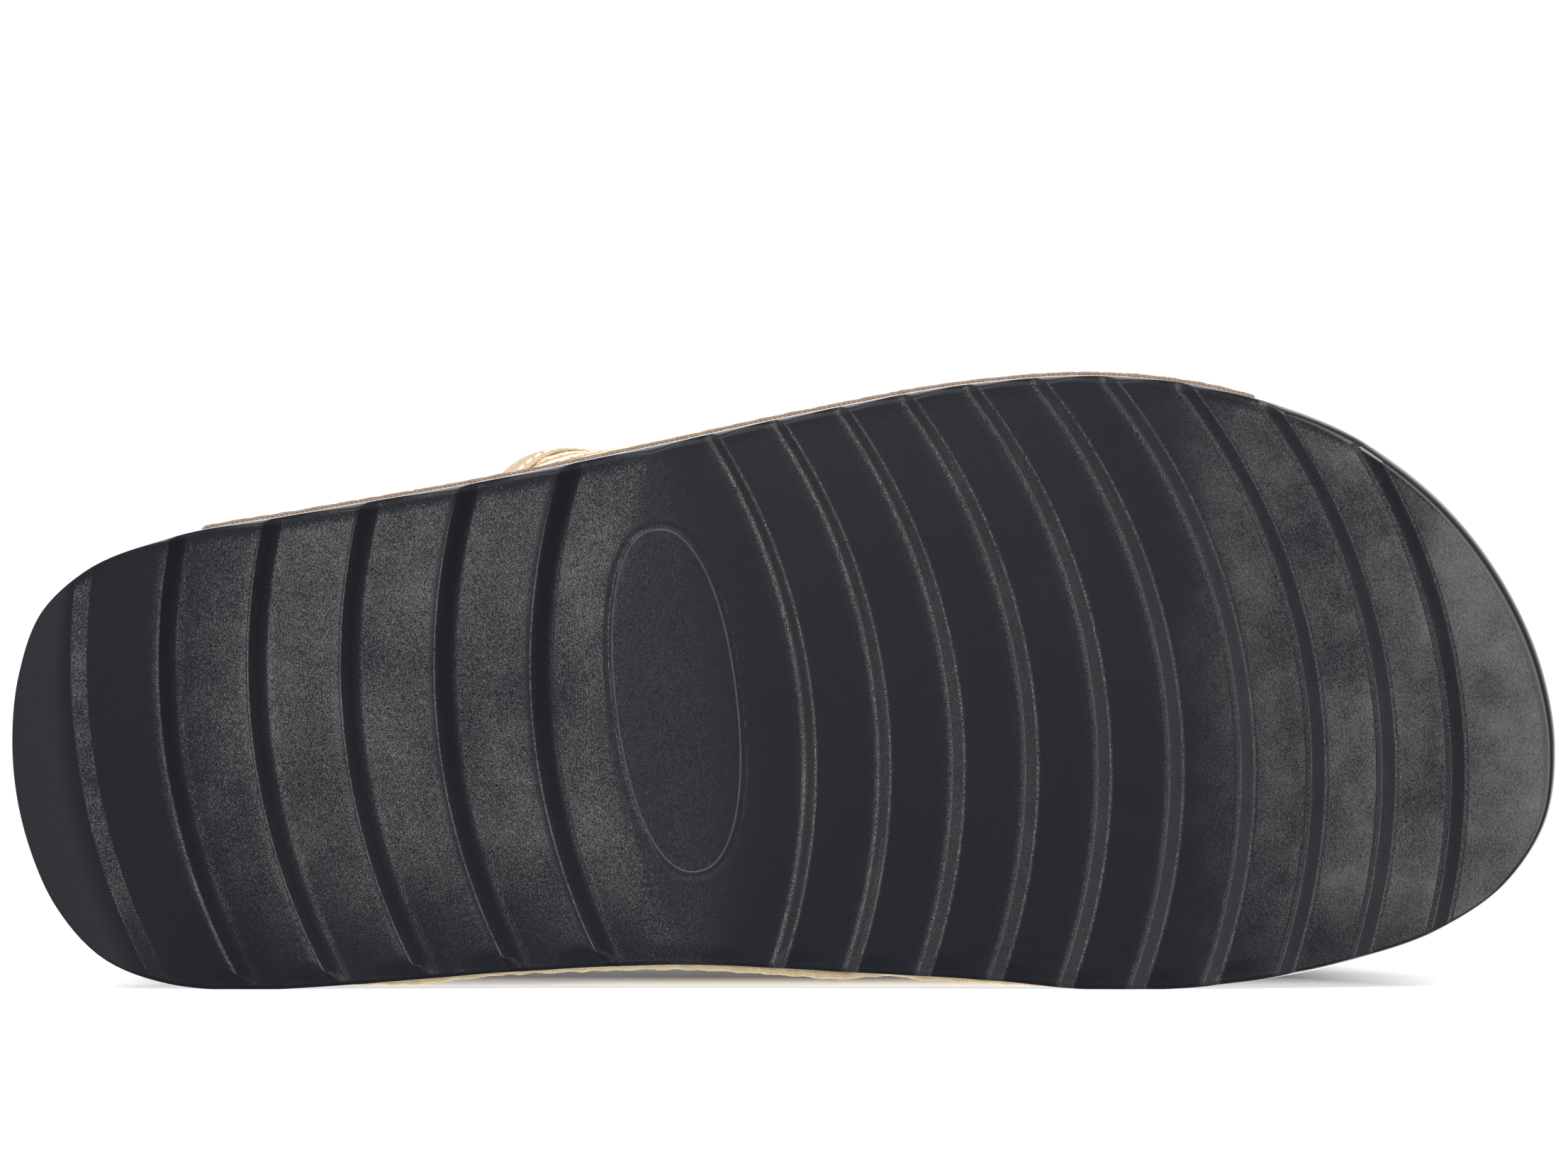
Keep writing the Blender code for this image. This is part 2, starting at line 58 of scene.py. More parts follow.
# Outline of the sole seen from below, clockwise from the heel tip: along, across
OUTLINE = [
    (0.0, 45.0), (1.2, 56.0), (5.4, 67.2), (13.0, 74.3), (28.0, 80.3), (50.8, 84.6),
    (81.0, 89.9), (111.4, 96.1), (141.7, 102.6), (171.9, 107.9), (194.0, 109.2), (217.4, 106.2),
    (240.1, 97.5), (255.2, 85.9), (266.0, 71.8), (272.9, 56.0), (275.0, 43.0), (273.2, 29.5),
    (265.7, 18.2), (254.5, 10.6), (236.0, 4.4), (217.0, 1.0), (205.0, 0.0), (191.0, 0.0),
    (176.0, 1.4), (149.0, 3.0), (119.0, 4.3), (90.0, 3.1), (62.0, 0.9), (47.0, 0.0),
    (36.0, 0.0), (28.1, 1.0), (17.0, 5.2), (8.2, 14.4), (2.9, 25.7),
]
OUTLINE_SAMPLES = 4800
KNOT_STEPS = 120
TANGENT_REACH = 6

# Height of the tread and of the midsole's seat along the sole
Station = namedtuple("Station", "along tread_lift seat_height")
STATIONS = [
    Station(0.0, 3.2, 24.6), Station(12.0, 0.9, 24.2), Station(28.0, 0.0, 23.8),
    Station(60.0, 0.0, 23.0), Station(100.0, 0.6, 21.4), Station(122.0, 0.9, 20.5),
    Station(148.0, 0.3, 19.4), Station(172.0, 0.0, 18.5), Station(198.0, 0.0, 18.2),
    Station(225.0, 1.6, 19.3), Station(250.0, 4.6, 21.5), Station(275.0, 9.0, 25.0),
]

# Tread ribs, as apex places and depths
HEEL_APEX = -1.0
HEEL_BEYOND = -12.0
TOE_APEX = 277.0
TOE_BEYOND = 290.0
WAIST_BEND = (97.0, 140.0)
APEX_ROUNDS = 30
HEEL_ARC_RADIUS = 117.5
HEEL_ARC_ACROSS = 58.2
HEEL_RIB_COUNT = 6
HEEL_FIRST_CREST = 10.5
HEEL_PITCH = 15.45
HEEL_PITCH_GROWTH = 0.17
HEEL_RAMP = 2.9
HEEL_RAMP_GROWTH = 0.2
HEEL_RIB_DEPTH = 2.0
HEEL_END_RELIEF = 3.3
HEEL_BAND_RELIEF = 2.6
FORE_ARC_RADIUS = 109.6
FORE_ARC_ACROSS = 39.6
FORE_RIB_COUNT = 10
FORE_FIRST_VALLEY = 141.3
FORE_PITCH = 13.15
FORE_PITCH_GROWTH = -0.04
FORE_RAMP = 2.2
FORE_RAMP_GROWTH = 0.12
FORE_RIB_DEPTH = 1.6
TOE_END_RELIEF = 1.6
WAIST_RIDGE = 119.0
HEEL_ROUND = 0.1
FORE_ROUND = 0.25
HEEL_SLOPE_BOW = 0.10
FIRST_SLOPE_BOW = -0.08
HEEL_FACET = 0.75
FACET_BEFORE = 0.7
FACET_AFTER = 0.3
FACET_DROP = 0.40
VALLEY_FACET = 0.5
CREST_FACET = 0.28
FACET_SLOPE = 0.16
WAIST_ROWS = (104.0, 133.0, 0.3)
ROW_STEP = 1.6
ROW_GAP = 0.03
HEEL_END_ROW = 0.6
HEEL_END_STEPS = 11
TOE_END_STEPS = 13

# Shares across the tread: close together at a side, then spans with their counts, closest at the oval's ends
SIDE_SHARES = (0.0, 0.003, 0.007, 0.012, 0.018, 0.026)
MIDDLE_SHARES = [(0.036, 0.132, 7), (0.14, 0.215, 22), (0.23, 0.78, 36), (0.795, 0.87, 22), (0.88, 0.964, 6)]

# Where the tread's grain is rubbed shiny: apex place and how much
WEAR = [
    (0.0, -0.25), (9.9, -0.25), (10.4, 0.02), (20.0, 0.0), (30.0, -0.03), (41.0, 0.0), (44.0, 0.045),
    (60.0, 0.04), (90.0, 0.025), (103.0, 0.02), (112.0, -0.02), (125.0, 0.0), (205.0, -0.012),
    (214.0, -0.03), (220.0, -0.01), (225.0, 0.012), (255.0, 0.06), (262.0, 0.115), (277.0, 0.15),
]
CREST_WEAR = 0.10
CREST_WEAR_LEAD = 0.15
CREST_WEAR_WIDTH = 0.45
FORE_WEAR_WIDTHS = (0.6, 0.35)
BEVEL_WEAR = -0.12
LATERAL_CALM = (0.3, 2.4)
LATERAL_TOE_WEAR = -0.035
LATERAL_TOE_ACROSS = (66.0, 88.0)
LATERAL_TOE_APEX = (200.0, 215.0)

# Painted light, which makes the foam greyer above 0, painted shade, which makes it blacker below, and lines
# of painted highlight
# A painted sheen on the heel end, painted shade on the heel's ramps, painted light on the forefoot's and
# toe's ramps
HEEL_END_PAINTED_SHEEN = 0.14
HEEL_END_SPAN = (7.0, 9.6)
HEEL_RAMP_PAINTED_SHADE = -0.52
FORE_RAMP_PAINTED_LIGHT = 0.23
TOE_RAMP_PAINTED_LIGHT = 0.1035
FIRST_TOE_RIB = 7
PAINTED_SHADING_EDGE = 0.4
# Painted glint round the oval, and the widths of the painted highlight along each forefoot ramp's valley and
# crest
OVAL_PAINTED_GLINT = 0.25
OVAL_PAINTED_GLINT_START = (98.0, 110.0)
OVAL_PAINTED_GLINT_END = (116.0, 137.0)
VALLEY_HIGHLIGHT_WIDTH = 0.55
VALLEY_HIGHLIGHT_FADE = (45.0, 85.0)
CREST_HIGHLIGHT_WIDTH = 0.24

# Oval in the waist: its middle, half sizes and tilt, then its thin bead and the moat outside it
OVAL_MIDDLE = (118.4, 51.2)
OVAL_HALF = (10.7, 30.5)
OVAL_TILT = math.radians(6.8)
OVAL_SQUARENESS = 2.2
OVAL_BEAD_WIDTH = 0.20
OVAL_BEAD_HEIGHT = 0.10
OVAL_MOAT_PLACE = 0.75
OVAL_MOAT_WIDTH = 0.65
OVAL_MOAT_DEPTH = 0.11
OVAL_STEPS = 360
OVAL_BEAD_SIDES = 10

# Width of the bevel round the tread: least width, growth, and the span where it grows
Bevel = namedtuple("Bevel", "least growth span")
LATERAL_BEVEL = Bevel(0.62, 0.88, (14.0, 60.0))
FRONT_BEVEL = Bevel(0.55, 1.35, (8.0, 62.0))
MEDIAL_BEVEL = 0.6
FRONT_BEVEL_ALONG = (225.0, 262.0)
LEAST_BEVEL = 0.05
STEADY_EDGE = (216.0, 240.0)
BEVEL_TURNS = (15.0, 30.0, 45.0, 60.0, 75.0, 90.0)
BEVEL_SHINE = (0.10, 0.12, 0.12, 0.12, 0.12, 0.15, 0.2)

# The tread drops along its medial edge as far as the toe
MEDIAL_DROP = 1.0
MEDIAL_DROP_WIDTH = (0.2, 2.6)
MEDIAL_DROP_END = (205.0, 225.0)

# Side wall and rims; the lip is given as drop and share of the flare, the rim as place outwards and drop
EDGE_RISE = 3.5
WALL_FLARE = 0.36
FLARE_ACROSS = (6.0, 30.0)
WALL_LIP = ((6.0, 0.0), (2.4, 0.04), (1.8, 0.25), (1.2, 0.70))
RIM_ROUND = 0.3
RIM_HEIGHT = 4.0
RIM_WALL = 2.2
RIM_DRAFT = 0.6
RIM_TOP = ((0.0, 0.6), (-0.18, 0.18), (-0.6, 0.0), (RIM_ROUND - RIM_WALL, 0.0))
RimEnds = namedtuple("RimEnds", "heel_full heel_end toe_end toe_full")
RIM_ENDS = {"lateral": RimEnds(22.0, 31.0, 224.5, 236.0), "medial": RimEnds(29.0, 40.0, 197.0, 210.0)}
HEEL_CORNER = {"medial": 8.0, "lateral": 5.5}
TOE_CORNER = {"medial": 264.0, "lateral": 258.0}

# Midsole, insole and gaps
GAP = 0.3
MIDSOLE_THICKNESS = 4.0
LATERAL_HEM = 0.62
MEDIAL_HEM = [
    (42.0, 0.55), (55.0, 1.2), (67.0, 1.7), (88.0, 1.05), (105.0, 1.3), (118.0, 1.45), (135.0, 1.75),
    (147.0, 1.95), (157.0, 0.75), (158.5, 0.65), (161.0, 1.3), (170.0, 1.15), (187.0, 0.7), (195.0, 0.6),
]
HEM_SHOWN = -1.5
HEM_RAGGED = 0.035
HEM_RAGGED_MOST = 0.15
HEM_WAVE = {"medial": 0.10, "lateral": 0.03}
HEM_FLOOR = 0.02
# Painted light on the medial hem: paler cloth, full where the roll bulges out past the fold, this share
# further in
HEM_PALE = 0.7
HEM_PALE_FOLD = -0.2
WRAP_ROOM = 2.2
WRAP_ROLL = [
    (-0.9, 0.02), (-0.35, 0.12), (-0.08, 0.32), (0.0, 0.5), (-0.05, 0.68), (-0.3, 0.87), (-0.9, 0.98),
]
WRAP_GIRTH = 5.5
WRAP_YARN = 0.45
SHEET_SPAN = (24.0, 256.0)
SHEET_HEEL_STEPS = 12
SHEET_TOE_STEPS = 8
MIDSOLE_COLUMNS = 25
MIDSOLE_ROW_STEP = 0.7
MIDSOLE_ENDS = {"lateral": (32.5, 222.5), "medial": (42.0, 195.0)}
MIDSOLE_END_LENGTH = 2.0
MIDSOLE_FLOOR_CLEARANCE = 0.05
INSOLE_THICKNESS = 2.4
INSOLE_INSET = 3.8
INSOLE_DISH = 1.8
INSOLE_DISH_WIDTH = 16.0
INSOLE_ROOM = 0.9
INSOLE_ROLL = ((-0.25, 0.06), (-0.02, 0.25), (0.0, 0.5), (-0.02, 0.78), (-0.25, 0.94))
INSOLE_COLUMNS = 71
INSOLE_ROW_STEP = 2.0
INSOLE_SEAM = 6.5
INSOLE_SEAM_DEPTH = 0.36
CHANNEL_DEPTH = 0.55
CHANNEL_WIDTH = 0.9
PILLOW_HEIGHT = 0.25
PILLOW_WIDTH = 2.0

# Strap
STRAP_WALL = 2.4
STRAP_INSET = 0.9
STRAP_SIDE_SHARE = 0.17
STRAP_SQUARENESS = 2.35
StrapSection = namedtuple(
    "StrapSection", "along crown_height crown_place widest_height medial_bulge lateral_bulge")
STRAP_SECTIONS = [
    StrapSection(80.0, 68.0, 0.47, 16.0, 1.2, 4.3), StrapSection(95.0, 67.0, 0.47, 16.0, 1.4, 3.8),
    StrapSection(106.0, 65.5, 0.46, 15.5, 1.6, 2.2), StrapSection(125.0, 62.5, 0.45, 15.0, 2.2, 1.9),
    StrapSection(150.0, 56.5, 0.43, 14.0, 2.2, 1.7), StrapSection(180.0, 48.0, 0.41, 13.0, 2.6, 1.5),
    StrapSection(215.0, 38.5, 0.39, 12.0, 3.0, 1.2),
]
StrapEdge = namedtuple("StrapEdge", "medial crown lateral")
STRAP_FRONT = StrapEdge(193.0, 211.0, 203.0)
STRAP_REAR = StrapEdge(92.0, 128.0, 85.5)
STRAP_EDGE_POWER = 1.2
STRAP_ROWS = 150
STRAP_CELLS = 330
YARN_PITCH = 2.3
YARN_RELIEF = 0.32
YARN_LEVEL = 0.75
YARN_ROUNDNESS = 0.6
YARN_START = (200.0, 40.0)
CALM_EDGE = (3.5, 5.0)
CALM_FLOOR = (0.25, 1.2)

# Tape folded over the strap's edges: into the band and out of its face
BINDING_PROFILE = [
    (4.9, 0.10), (4.7, 0.42), (4.0, 0.52), (1.2, 0.56), (0.2, 0.42), (-0.45, -0.1), (-0.7, -0.8),
    (-0.75, -1.3), (-0.65, -1.9), (-0.35, -2.5), (0.3, -2.85), (1.2, -2.95), (4.0, -2.9), (4.7, -2.8),
    (4.9, -2.5), (4.2, -2.1), (4.2, -0.3),
]
BINDING_REACH = 3
BINDING_YARN = 0.7
BINDING_TURN = 1.1
SEAM_INTO = 3.6
SEAM_OUT = 0.62
SEAM_FLOOR = 0.3
SEAM_CUT = 6
Stitch = namedtuple("Stitch", "pitch length thickness")
BINDING_STITCH = Stitch(3.2, 2.5, 0.55)
INSOLE_STITCH = Stitch(3.6, 2.8, 0.6)

# Foam: fineness of its grain, then spans of a value and what they turn into
GRAIN = (7600.0, 7600.0, 6600.0)
STREAK = (8000.0, 2200.0, 2000.0)
FOREFOOT = (0.045, 0.075, 0.0, 1.0)
PATCHES = (0.34, 0.66, -0.045, 0.045)
SHARP_GLINT = (0.515, 0.645, 0.0, 1.0)
SMOOTH_GLINT = (0.44, 0.76, 0.0, 1.0)
GLINT_IN_PAINTED_SHADE = (-0.6, 0.0, 0.1, 1.0)
GRAIN_ROUGHNESS = (0.40, 0.60, 0.62, 0.50)
GRAIN_IN_PAINTED_HIGHLIGHT = (0.47, 0.64, 0.0, 1.0)
GRAIN_HEIGHT = 0.00003
WALL_GRAIN = 0.15
WALL_COAT = 0.8
FOAM_DULL = (0.0034, 0.0037, 0.0058, 1.0)
FOAM_GLINT = (0.0046, 0.0050, 0.0070, 1.0)
# Foam colours of painted shade (blacker), painted light (greyer) and painted highlight (paler lines)
FOAM_PAINTED_SHADE = (0.0010, 0.0012, 0.0022, 1.0)
FOAM_PAINTED_LIGHT = (0.0340, 0.0365, 0.0370, 1.0)
FOAM_PAINTED_HIGHLIGHT = (0.060, 0.064, 0.058, 1.0)
# Colours of the oval's bead, lighter than the foam: a painted highlight
BEAD_HIGHLIGHT_DIM = (0.010, 0.011, 0.013, 1.0)
BEAD_HIGHLIGHT_BRIGHT = (0.034, 0.036, 0.038, 1.0)
LINT_COLOUR = (0.45, 0.45, 0.42, 1.0)
LINT_SIZE = (0.016, 0.022, 1.0, 0.0)
LINT_RARITY = 0.60

# Cloths: colours, fineness of the fibres, sheen and relief in metres
FUZZ_LAYERS = ((2600.0, 3.0), (420.0, 2.0))
FUZZ_TONE = (0.34, 0.66, 0.0, 1.0)
YARN_GAP = (0.30, 0.72, 1.0, 0.0)
YARN_SEEDS = (0.37, 91.37)
Woven = namedtuple("Woven", "light deep gap fineness sheen relief yarn_tone faded")
WOVEN = {
    # brown_wrap's last pair is painted light: paler colours laid on the medial hem
    "brown_wrap": Woven(
        (0.25, 0.155, 0.092, 1.0), (0.105, 0.060, 0.035, 1.0), (0.08, 0.044, 0.028, 1.0),
        1.0, 0.2, 0.00012, 0.25, ((0.60, 0.45, 0.23, 1.0), (0.90, 0.76, 0.50, 1.0))),
    "cream_weave": Woven(
        (0.86, 0.72, 0.50, 1.0), (0.66, 0.50, 0.31, 1.0), (0.30, 0.20, 0.11, 1.0),
        0.9, 0.3, 0.00018, 0.4, None),
    "tan_tape": Woven(
        (0.60, 0.45, 0.28, 1.0), (0.45, 0.32, 0.19, 1.0), (0.25, 0.17, 0.10, 1.0),
        1.0, 0.25, 0.00008, 0.4, None),
}
Plain = namedtuple("Plain", "light deep fineness sheen relief roughness")
PLAIN = {
    "beige_lining": Plain((0.62, 0.50, 0.35, 1.0), (0.50, 0.39, 0.26, 1.0), 0.8, 0.3, 0.00006, 0.85),
    "tan_footbed": Plain((0.50, 0.37, 0.23, 1.0), (0.38, 0.26, 0.15, 1.0), 0.6, 0.4, 0.00010, 0.85),
    "pale_thread": Plain((0.85, 0.76, 0.58, 1.0), (0.70, 0.58, 0.40, 1.0), 1.4, 0.2, 0.00003, 0.6),
}

# Stage, in metres
FLOOR_SIDES = ((-2.0, 2.0), (-2.6, 1.0))
FLOOR_COLOURS = ((0.84, 0.88, 0.93, 1.0), (0.88, 0.92, 0.97, 1.0))
FLOOR_GLOW = 0.85
GLOW_FRONT = (-0.045, 0.03, FLOOR_GLOW, 0.0)
GLOW_BACK = (0.10, 0.30, 0.0, FLOOR_GLOW)
GLOW_ASIDE = (0.092, 0.122, 0.0, FLOOR_GLOW)
BACKDROP = 1.02
SOFT_FILL = (-0.5, 0.5, 0.45, 0.15)
LIGHT_TINT = (0.96, 1.0, 0.93)
WHITE = (1.0, 1.0, 1.0)
Softbox = namedtuple("Softbox", "name place aim width tall power colour mirrored")
SOFTBOXES = [
    Softbox("left_softbox", (-0.86, -2.6, 0.55), (-0.05, 0.0, 0.05), 0.66, 1.9, 17.5, LIGHT_TINT, True),
    Softbox("right_softbox", (2.42, -3.0, 0.8), (0.05, 0.0, 0.05), 1.10, 2.6, 40.0, LIGHT_TINT, True),
    Softbox("top_softbox", (0.0, -1.7, 1.35), (0.0, 0.0, 0.0), 1.6, 1.2, 74.0, WHITE, True),
    Softbox("front_fill", (0.0, -2.6, 0.09), (0.0, 0.0, 0.05), 0.6, 0.12, 22.0, WHITE, False),
]

# What the foam mirrors of the room: span of a part of the direction, then strength at its two ends
MIRRORED_BEHIND = (-0.30, 0.50, 0.04, 4.0)
MIRRORED_BELOW = (-0.7, -0.05, 0.35, 0.06)
MIRRORED_ASIDE = (-0.95, -0.30, 0.70, 0.04)
MIRRORED_AHEAD = (0.8, 1.0, 0.04, 0.45)
BEHIND_TURN = -0.2
AHEAD_LIFT = 0.8

# Camera, in metres
CAMERA_DISTANCE = 2.2
SENSOR_WIDTH = 36.0
FRAME_WIDTH = 0.27905
FRAME_DEPTH = 0.010
FRAME_MIDDLE = (0.0, 0.0712)

Row = namedtuple("Row", "places medial lateral apex")


def smooth_step(value, start, end):
    """Ease from 0 at start to 1 at end."""
    share = np.clip((np.asarray(value, dtype=float) - start) / (end - start), 0.0, 1.0)
    return share * share * (3.0 - 2.0 * share)


def near(value, place, width):
    """1 at a place, falling off on both sides of it."""
    return np.exp(-((value - place) / width) ** 2)


def run_length(points):
    """Length along a line of points, up to each point."""
    return np.concatenate([[0.0], np.cumsum(np.linalg.norm(np.diff(points, axis=0), axis=1))])


def hermite(share, first, first_slope, second, second_slope):
    """Cubic between two values with given slopes, over a share from 0 to 1."""
    square = share * share
    cube = square * share
    return ((2 * cube - 3 * square + 1) * first + (cube - 2 * square + share) * first_slope
            + (3 * square - 2 * cube) * second + (cube - square) * second_slope)


def table_value(table, column, along):
    """Smooth value of one column of a table whose first column is along."""
    stations = np.array([row.along for row in table])
    values = np.array([getattr(row, column) for row in table])
    slopes = np.gradient(values, stations)
    flat = np.diff(values) == 0.0
    slopes[:-1][flat] = 0.0
    slopes[1:][flat] = 0.0
    along = np.clip(along, stations[0], stations[-1])
    index = np.clip(np.searchsorted(stations, along) - 1, 0, len(stations) - 2)
    span = stations[index + 1] - stations[index]
    share = (along - stations[index]) / span
    return hermite(share, values[index], slopes[index] * span, values[index + 1], slopes[index + 1] * span)


def closed_curve(knots, samples):
    """Smooth closed curve through the knots, resampled at equal steps; it never dips below the floor."""
    knots = np.array(knots)
    after = np.roll(knots, -1, axis=0)
    chord = np.linalg.norm(after - knots, axis=1)[:, None]
    chord_before = np.roll(chord, 1, axis=0)
    step = after - knots
    step_before = np.roll(step, 1, axis=0)
    slope = (step_before / chord_before * chord + step / chord * chord_before) / (chord + chord_before)
    slope_after = np.roll(slope, -1, axis=0)
    pieces = []
    for share in np.linspace(0.0, 1.0, KNOT_STEPS, endpoint=False):
        pieces.append(hermite(share, knots, slope * chord, after, slope_after * chord))
    dense = np.stack(pieces, axis=1).reshape(-1, 2)
    dense[:, 1] = np.maximum(dense[:, 1], 0.0)
    closed = np.vstack([dense, dense[:1]])
    length = run_length(closed)
    wanted = np.linspace(0.0, length[-1], samples, endpoint=False)
    return np.stack([np.interp(wanted, length, closed[:, axis]) for axis in (0, 1)], axis=1)


CURVE = closed_curve(OUTLINE, OUTLINE_SAMPLES)
TANGENT = np.roll(CURVE, -TANGENT_REACH, axis=0) - np.roll(CURVE, TANGENT_REACH, axis=0)
TANGENT /= np.linalg.norm(TANGENT, axis=1)[:, None]
NORMAL = np.stack([-TANGENT[:, 1], TANGENT[:, 0]], axis=1)
TOE_INDEX = int(np.argmax(CURVE[:, 0]))
SIDE_INDEX = {
    "lateral": np.arange(0, TOE_INDEX + 1),
    "medial": np.arange(OUTLINE_SAMPLES, TOE_INDEX - 1, -1),
}


def read_curve(table, index):
    """Value of a table kept along the outline at fractional places."""
    index = np.asarray(index, dtype=float)
    low = np.floor(index).astype(int)
    share = (index - low)[..., None]
    return table[low % OUTLINE_SAMPLES] * (1.0 - share) + table[(low + 1) % OUTLINE_SAMPLES] * share


def outline_at(index, offset):
    """Points at a signed distance outside the outline."""
    return read_curve(CURVE, index) + read_curve(NORMAL, index) * np.asarray(offset, dtype=float)[..., None]


def heel_bend(across):
    """How far a heel arc lies ahead of its apex."""
    return HEEL_ARC_RADIUS - np.sqrt(HEEL_ARC_RADIUS ** 2 - (across - HEEL_ARC_ACROSS) ** 2)


def fore_bend(across):
    """How far a forefoot arc lies ahead of its apex; it bends back, so this is never above 0."""
    return np.sqrt(FORE_ARC_RADIUS ** 2 - (across - FORE_ARC_ACROSS) ** 2) - FORE_ARC_RADIUS


def no_bend(across):
    """A straight row across the sole."""
    return np.zeros_like(across)


def bend_at(apex):
    """Bend of the row with this apex: a heel arc, a forefoot arc, or a mix of both in the waist."""
    share = smooth_step(apex, *WAIST_BEND)
    return lambda across: (1.0 - share) * heel_bend(across) + share * fore_bend(across)


def apex_of(places):
    """Apex of the row that passes through each place."""
    apex = places[..., 0]
    for _ in range(APEX_ROUNDS):
        apex = 0.5 * apex + 0.5 * (places[..., 0] - bend_at(apex)(places[..., 1]))
    return apex


def crossing(bend, apex, side):
    """Place on one side of the outline where an arc with this apex leaves the sole."""
    index = SIDE_INDEX[side]
    points = CURVE[index % OUTLINE_SAMPLES]
    level = points[:, 0] - bend(points[:, 1])
    last = min(np.nonzero(level <= apex)[0].max(), len(index) - 2)
    share = (apex - level[last]) / (level[last + 1] - level[last])
    return index[last] + share * (index[last + 1] - index[last])


def arc_row(bend, apex, offset, shares):
    """Row of points along an arc between the two sides."""
    places = np.array([crossing(bend, apex, "medial"), crossing(bend, apex, "lateral")])
    ends = outline_at(places, offset(places))
    across = ends[0, 1] + (ends[1, 1] - ends[0, 1]) * shares
    along = apex + bend(across)
    along = along + (1.0 - shares) * (ends[0, 0] - along[0]) + shares * (ends[1, 0] - along[-1])
    return Row(np.stack([along, across], axis=1), places[0], places[1], apex)


def end_row(corner, through, offset, shares, apex):
    """Row of points along the outline itself, round the heel tip or the toe tip."""
    medial = crossing(no_bend, corner["medial"], "medial")
    lateral = crossing(no_bend, corner["lateral"], "lateral")
    last = lateral + OUTLINE_SAMPLES if through == "heel" else lateral
    index = medial + (last - medial) * shares
    return Row(outline_at(index, offset(index)), medial, lateral, apex)


def rows_between(first, second, steps, offset, shares):
    """Rows that lead from one row to the next, with their ends on the outline."""
    rows = []
    for step in range(1, steps):
        share = step / steps
        places = np.array([first.medial + (second.medial - first.medial) * share,
                           first.lateral + (second.lateral - first.lateral) * share])
        ends = outline_at(places, offset(places))
        blend = first.places * (1.0 - share) + second.places * share
        medial_gap = ends[0] - blend[0]
        lateral_gap = ends[1] - blend[-1]
        blend = blend + (1.0 - shares)[:, None] * medial_gap + shares[:, None] * lateral_gap
        rows.append(Row(blend, places[0], places[1], first.apex + (second.apex - first.apex) * share))
    return rows


def grid_loop(table):
    """Outer loop of a grid kept as rows: medial side, toe row, lateral side, heel row."""
    return np.concatenate([table[:, 0], table[-1, 1:], table[-2::-1, -1], table[0, -2:0:-1]])


def set_grid_loop(table, loop):
    """Put new values on the outer loop of a grid, in the order in which grid_loop reads it."""
    count, columns = table.shape[:2]
    table[:, 0] = loop[:count]
    table[-1, 1:] = loop[count:count + columns - 1]
    table[-2::-1, -1] = loop[count + columns - 1:2 * count + columns - 2]
    table[0, -2:0:-1] = loop[2 * count + columns - 2:]


def loop_places(rows, shares):
    """Places on the outline of the outer loop of a grid."""
    medial = [row.medial for row in rows]
    lateral = [row.lateral for row in rows]
    toe = rows[-1].medial + (rows[-1].lateral - rows[-1].medial) * shares
    heel = rows[0].medial + (rows[0].lateral + OUTLINE_SAMPLES - rows[0].medial) * shares
    return np.concatenate([medial, toe[1:-1], lateral[::-1], heel[-2:0:-1]])


def with_height(places, height):
    """Along, height, across from places in the plane of the sole and their heights."""
    return np.stack([places[..., 0], np.broadcast_to(height, places.shape[:-1]), places[..., 1]], axis=-1)


def to_scene(points):
    """Scene coordinates in metres."""
    moved = np.asarray(points, dtype=float) + np.array([-SOLE_LENGTH / 2.0, TREAD_PLANE, 0.0])
    return moved * MILLIMETRE


def grid_faces(rows, columns, first=0, flip=False):
    """Quads of a grid kept row by row."""
    ids = first + np.arange(rows * columns).reshape(rows, columns)
    quads = np.stack([ids[:-1, :-1], ids[1:, :-1], ids[1:, 1:], ids[:-1, 1:]], axis=-1).reshape(-1, 4)
    return quads[:, ::-1] if flip else quads


def ring_faces(low, high):
    """Quads between two closed loops of point numbers."""
    low_after = np.roll(low, -1)
    high_after = np.roll(high, -1)
    return np.stack([low, high, high_after, low_after], axis=-1)


def edge_bands(count, columns, rings, loop):
    """Point numbers of a grid's outer loop and of the rings that follow the grid."""
    bands = [grid_loop(np.arange(count * columns).reshape(count, columns))]
    return bands + [count * columns + ring * loop + np.arange(loop) for ring in range(rings)]


def closed_sheet(under, rings, over):
    """Points and faces of a closed sheet: lower grid, rings round its edge, upper grid."""
    count, columns = under.shape[:2]
    loop = len(rings[0])
    upper = count * columns + loop * len(rings)
    bands = edge_bands(count, columns, len(rings), loop)
    bands.append(bands[0] + upper)
    faces = [grid_faces(count, columns), grid_faces(count, columns, upper, True)]
    faces += [ring_faces(lower, higher) for lower, higher in zip(bands[:-1], bands[1:])]
    return np.vstack([under.reshape(-1, 3)] + rings + [over.reshape(-1, 3)]), np.vstack(faces)


def make_piece(name, points, faces, materials, attributes=None, face_material=None, uv=None):
    """Mesh object at the origin, shaded smooth."""
    mesh = bpy.data.meshes.new(name)
    mesh.from_pydata(to_scene(points).tolist(), [], [[int(i) for i in face] for face in faces])
    for material in materials:
        mesh.materials.append(material)
    for label, values in (attributes or {}).items():
        layer = mesh.attributes.new(label, "FLOAT", "POINT")
        layer.data.foreach_set("value", np.asarray(values, dtype=np.float32))
    if face_material is not None:
        mesh.polygons.foreach_set("material_index", np.asarray(face_material, dtype=np.int32))
    if uv is not None:
        layer = mesh.uv_layers.new(name="yarns")
        corners = np.empty(len(mesh.loops), dtype=np.int32)
        mesh.loops.foreach_get("vertex_index", corners)
        layer.data.foreach_set("uv", np.asarray(uv, dtype=np.float32)[corners].ravel())
    mesh.update()
    mesh.shade_smooth()
    piece = bpy.data.objects.new(name, mesh)
    bpy.context.scene.collection.objects.link(piece)
    return piece


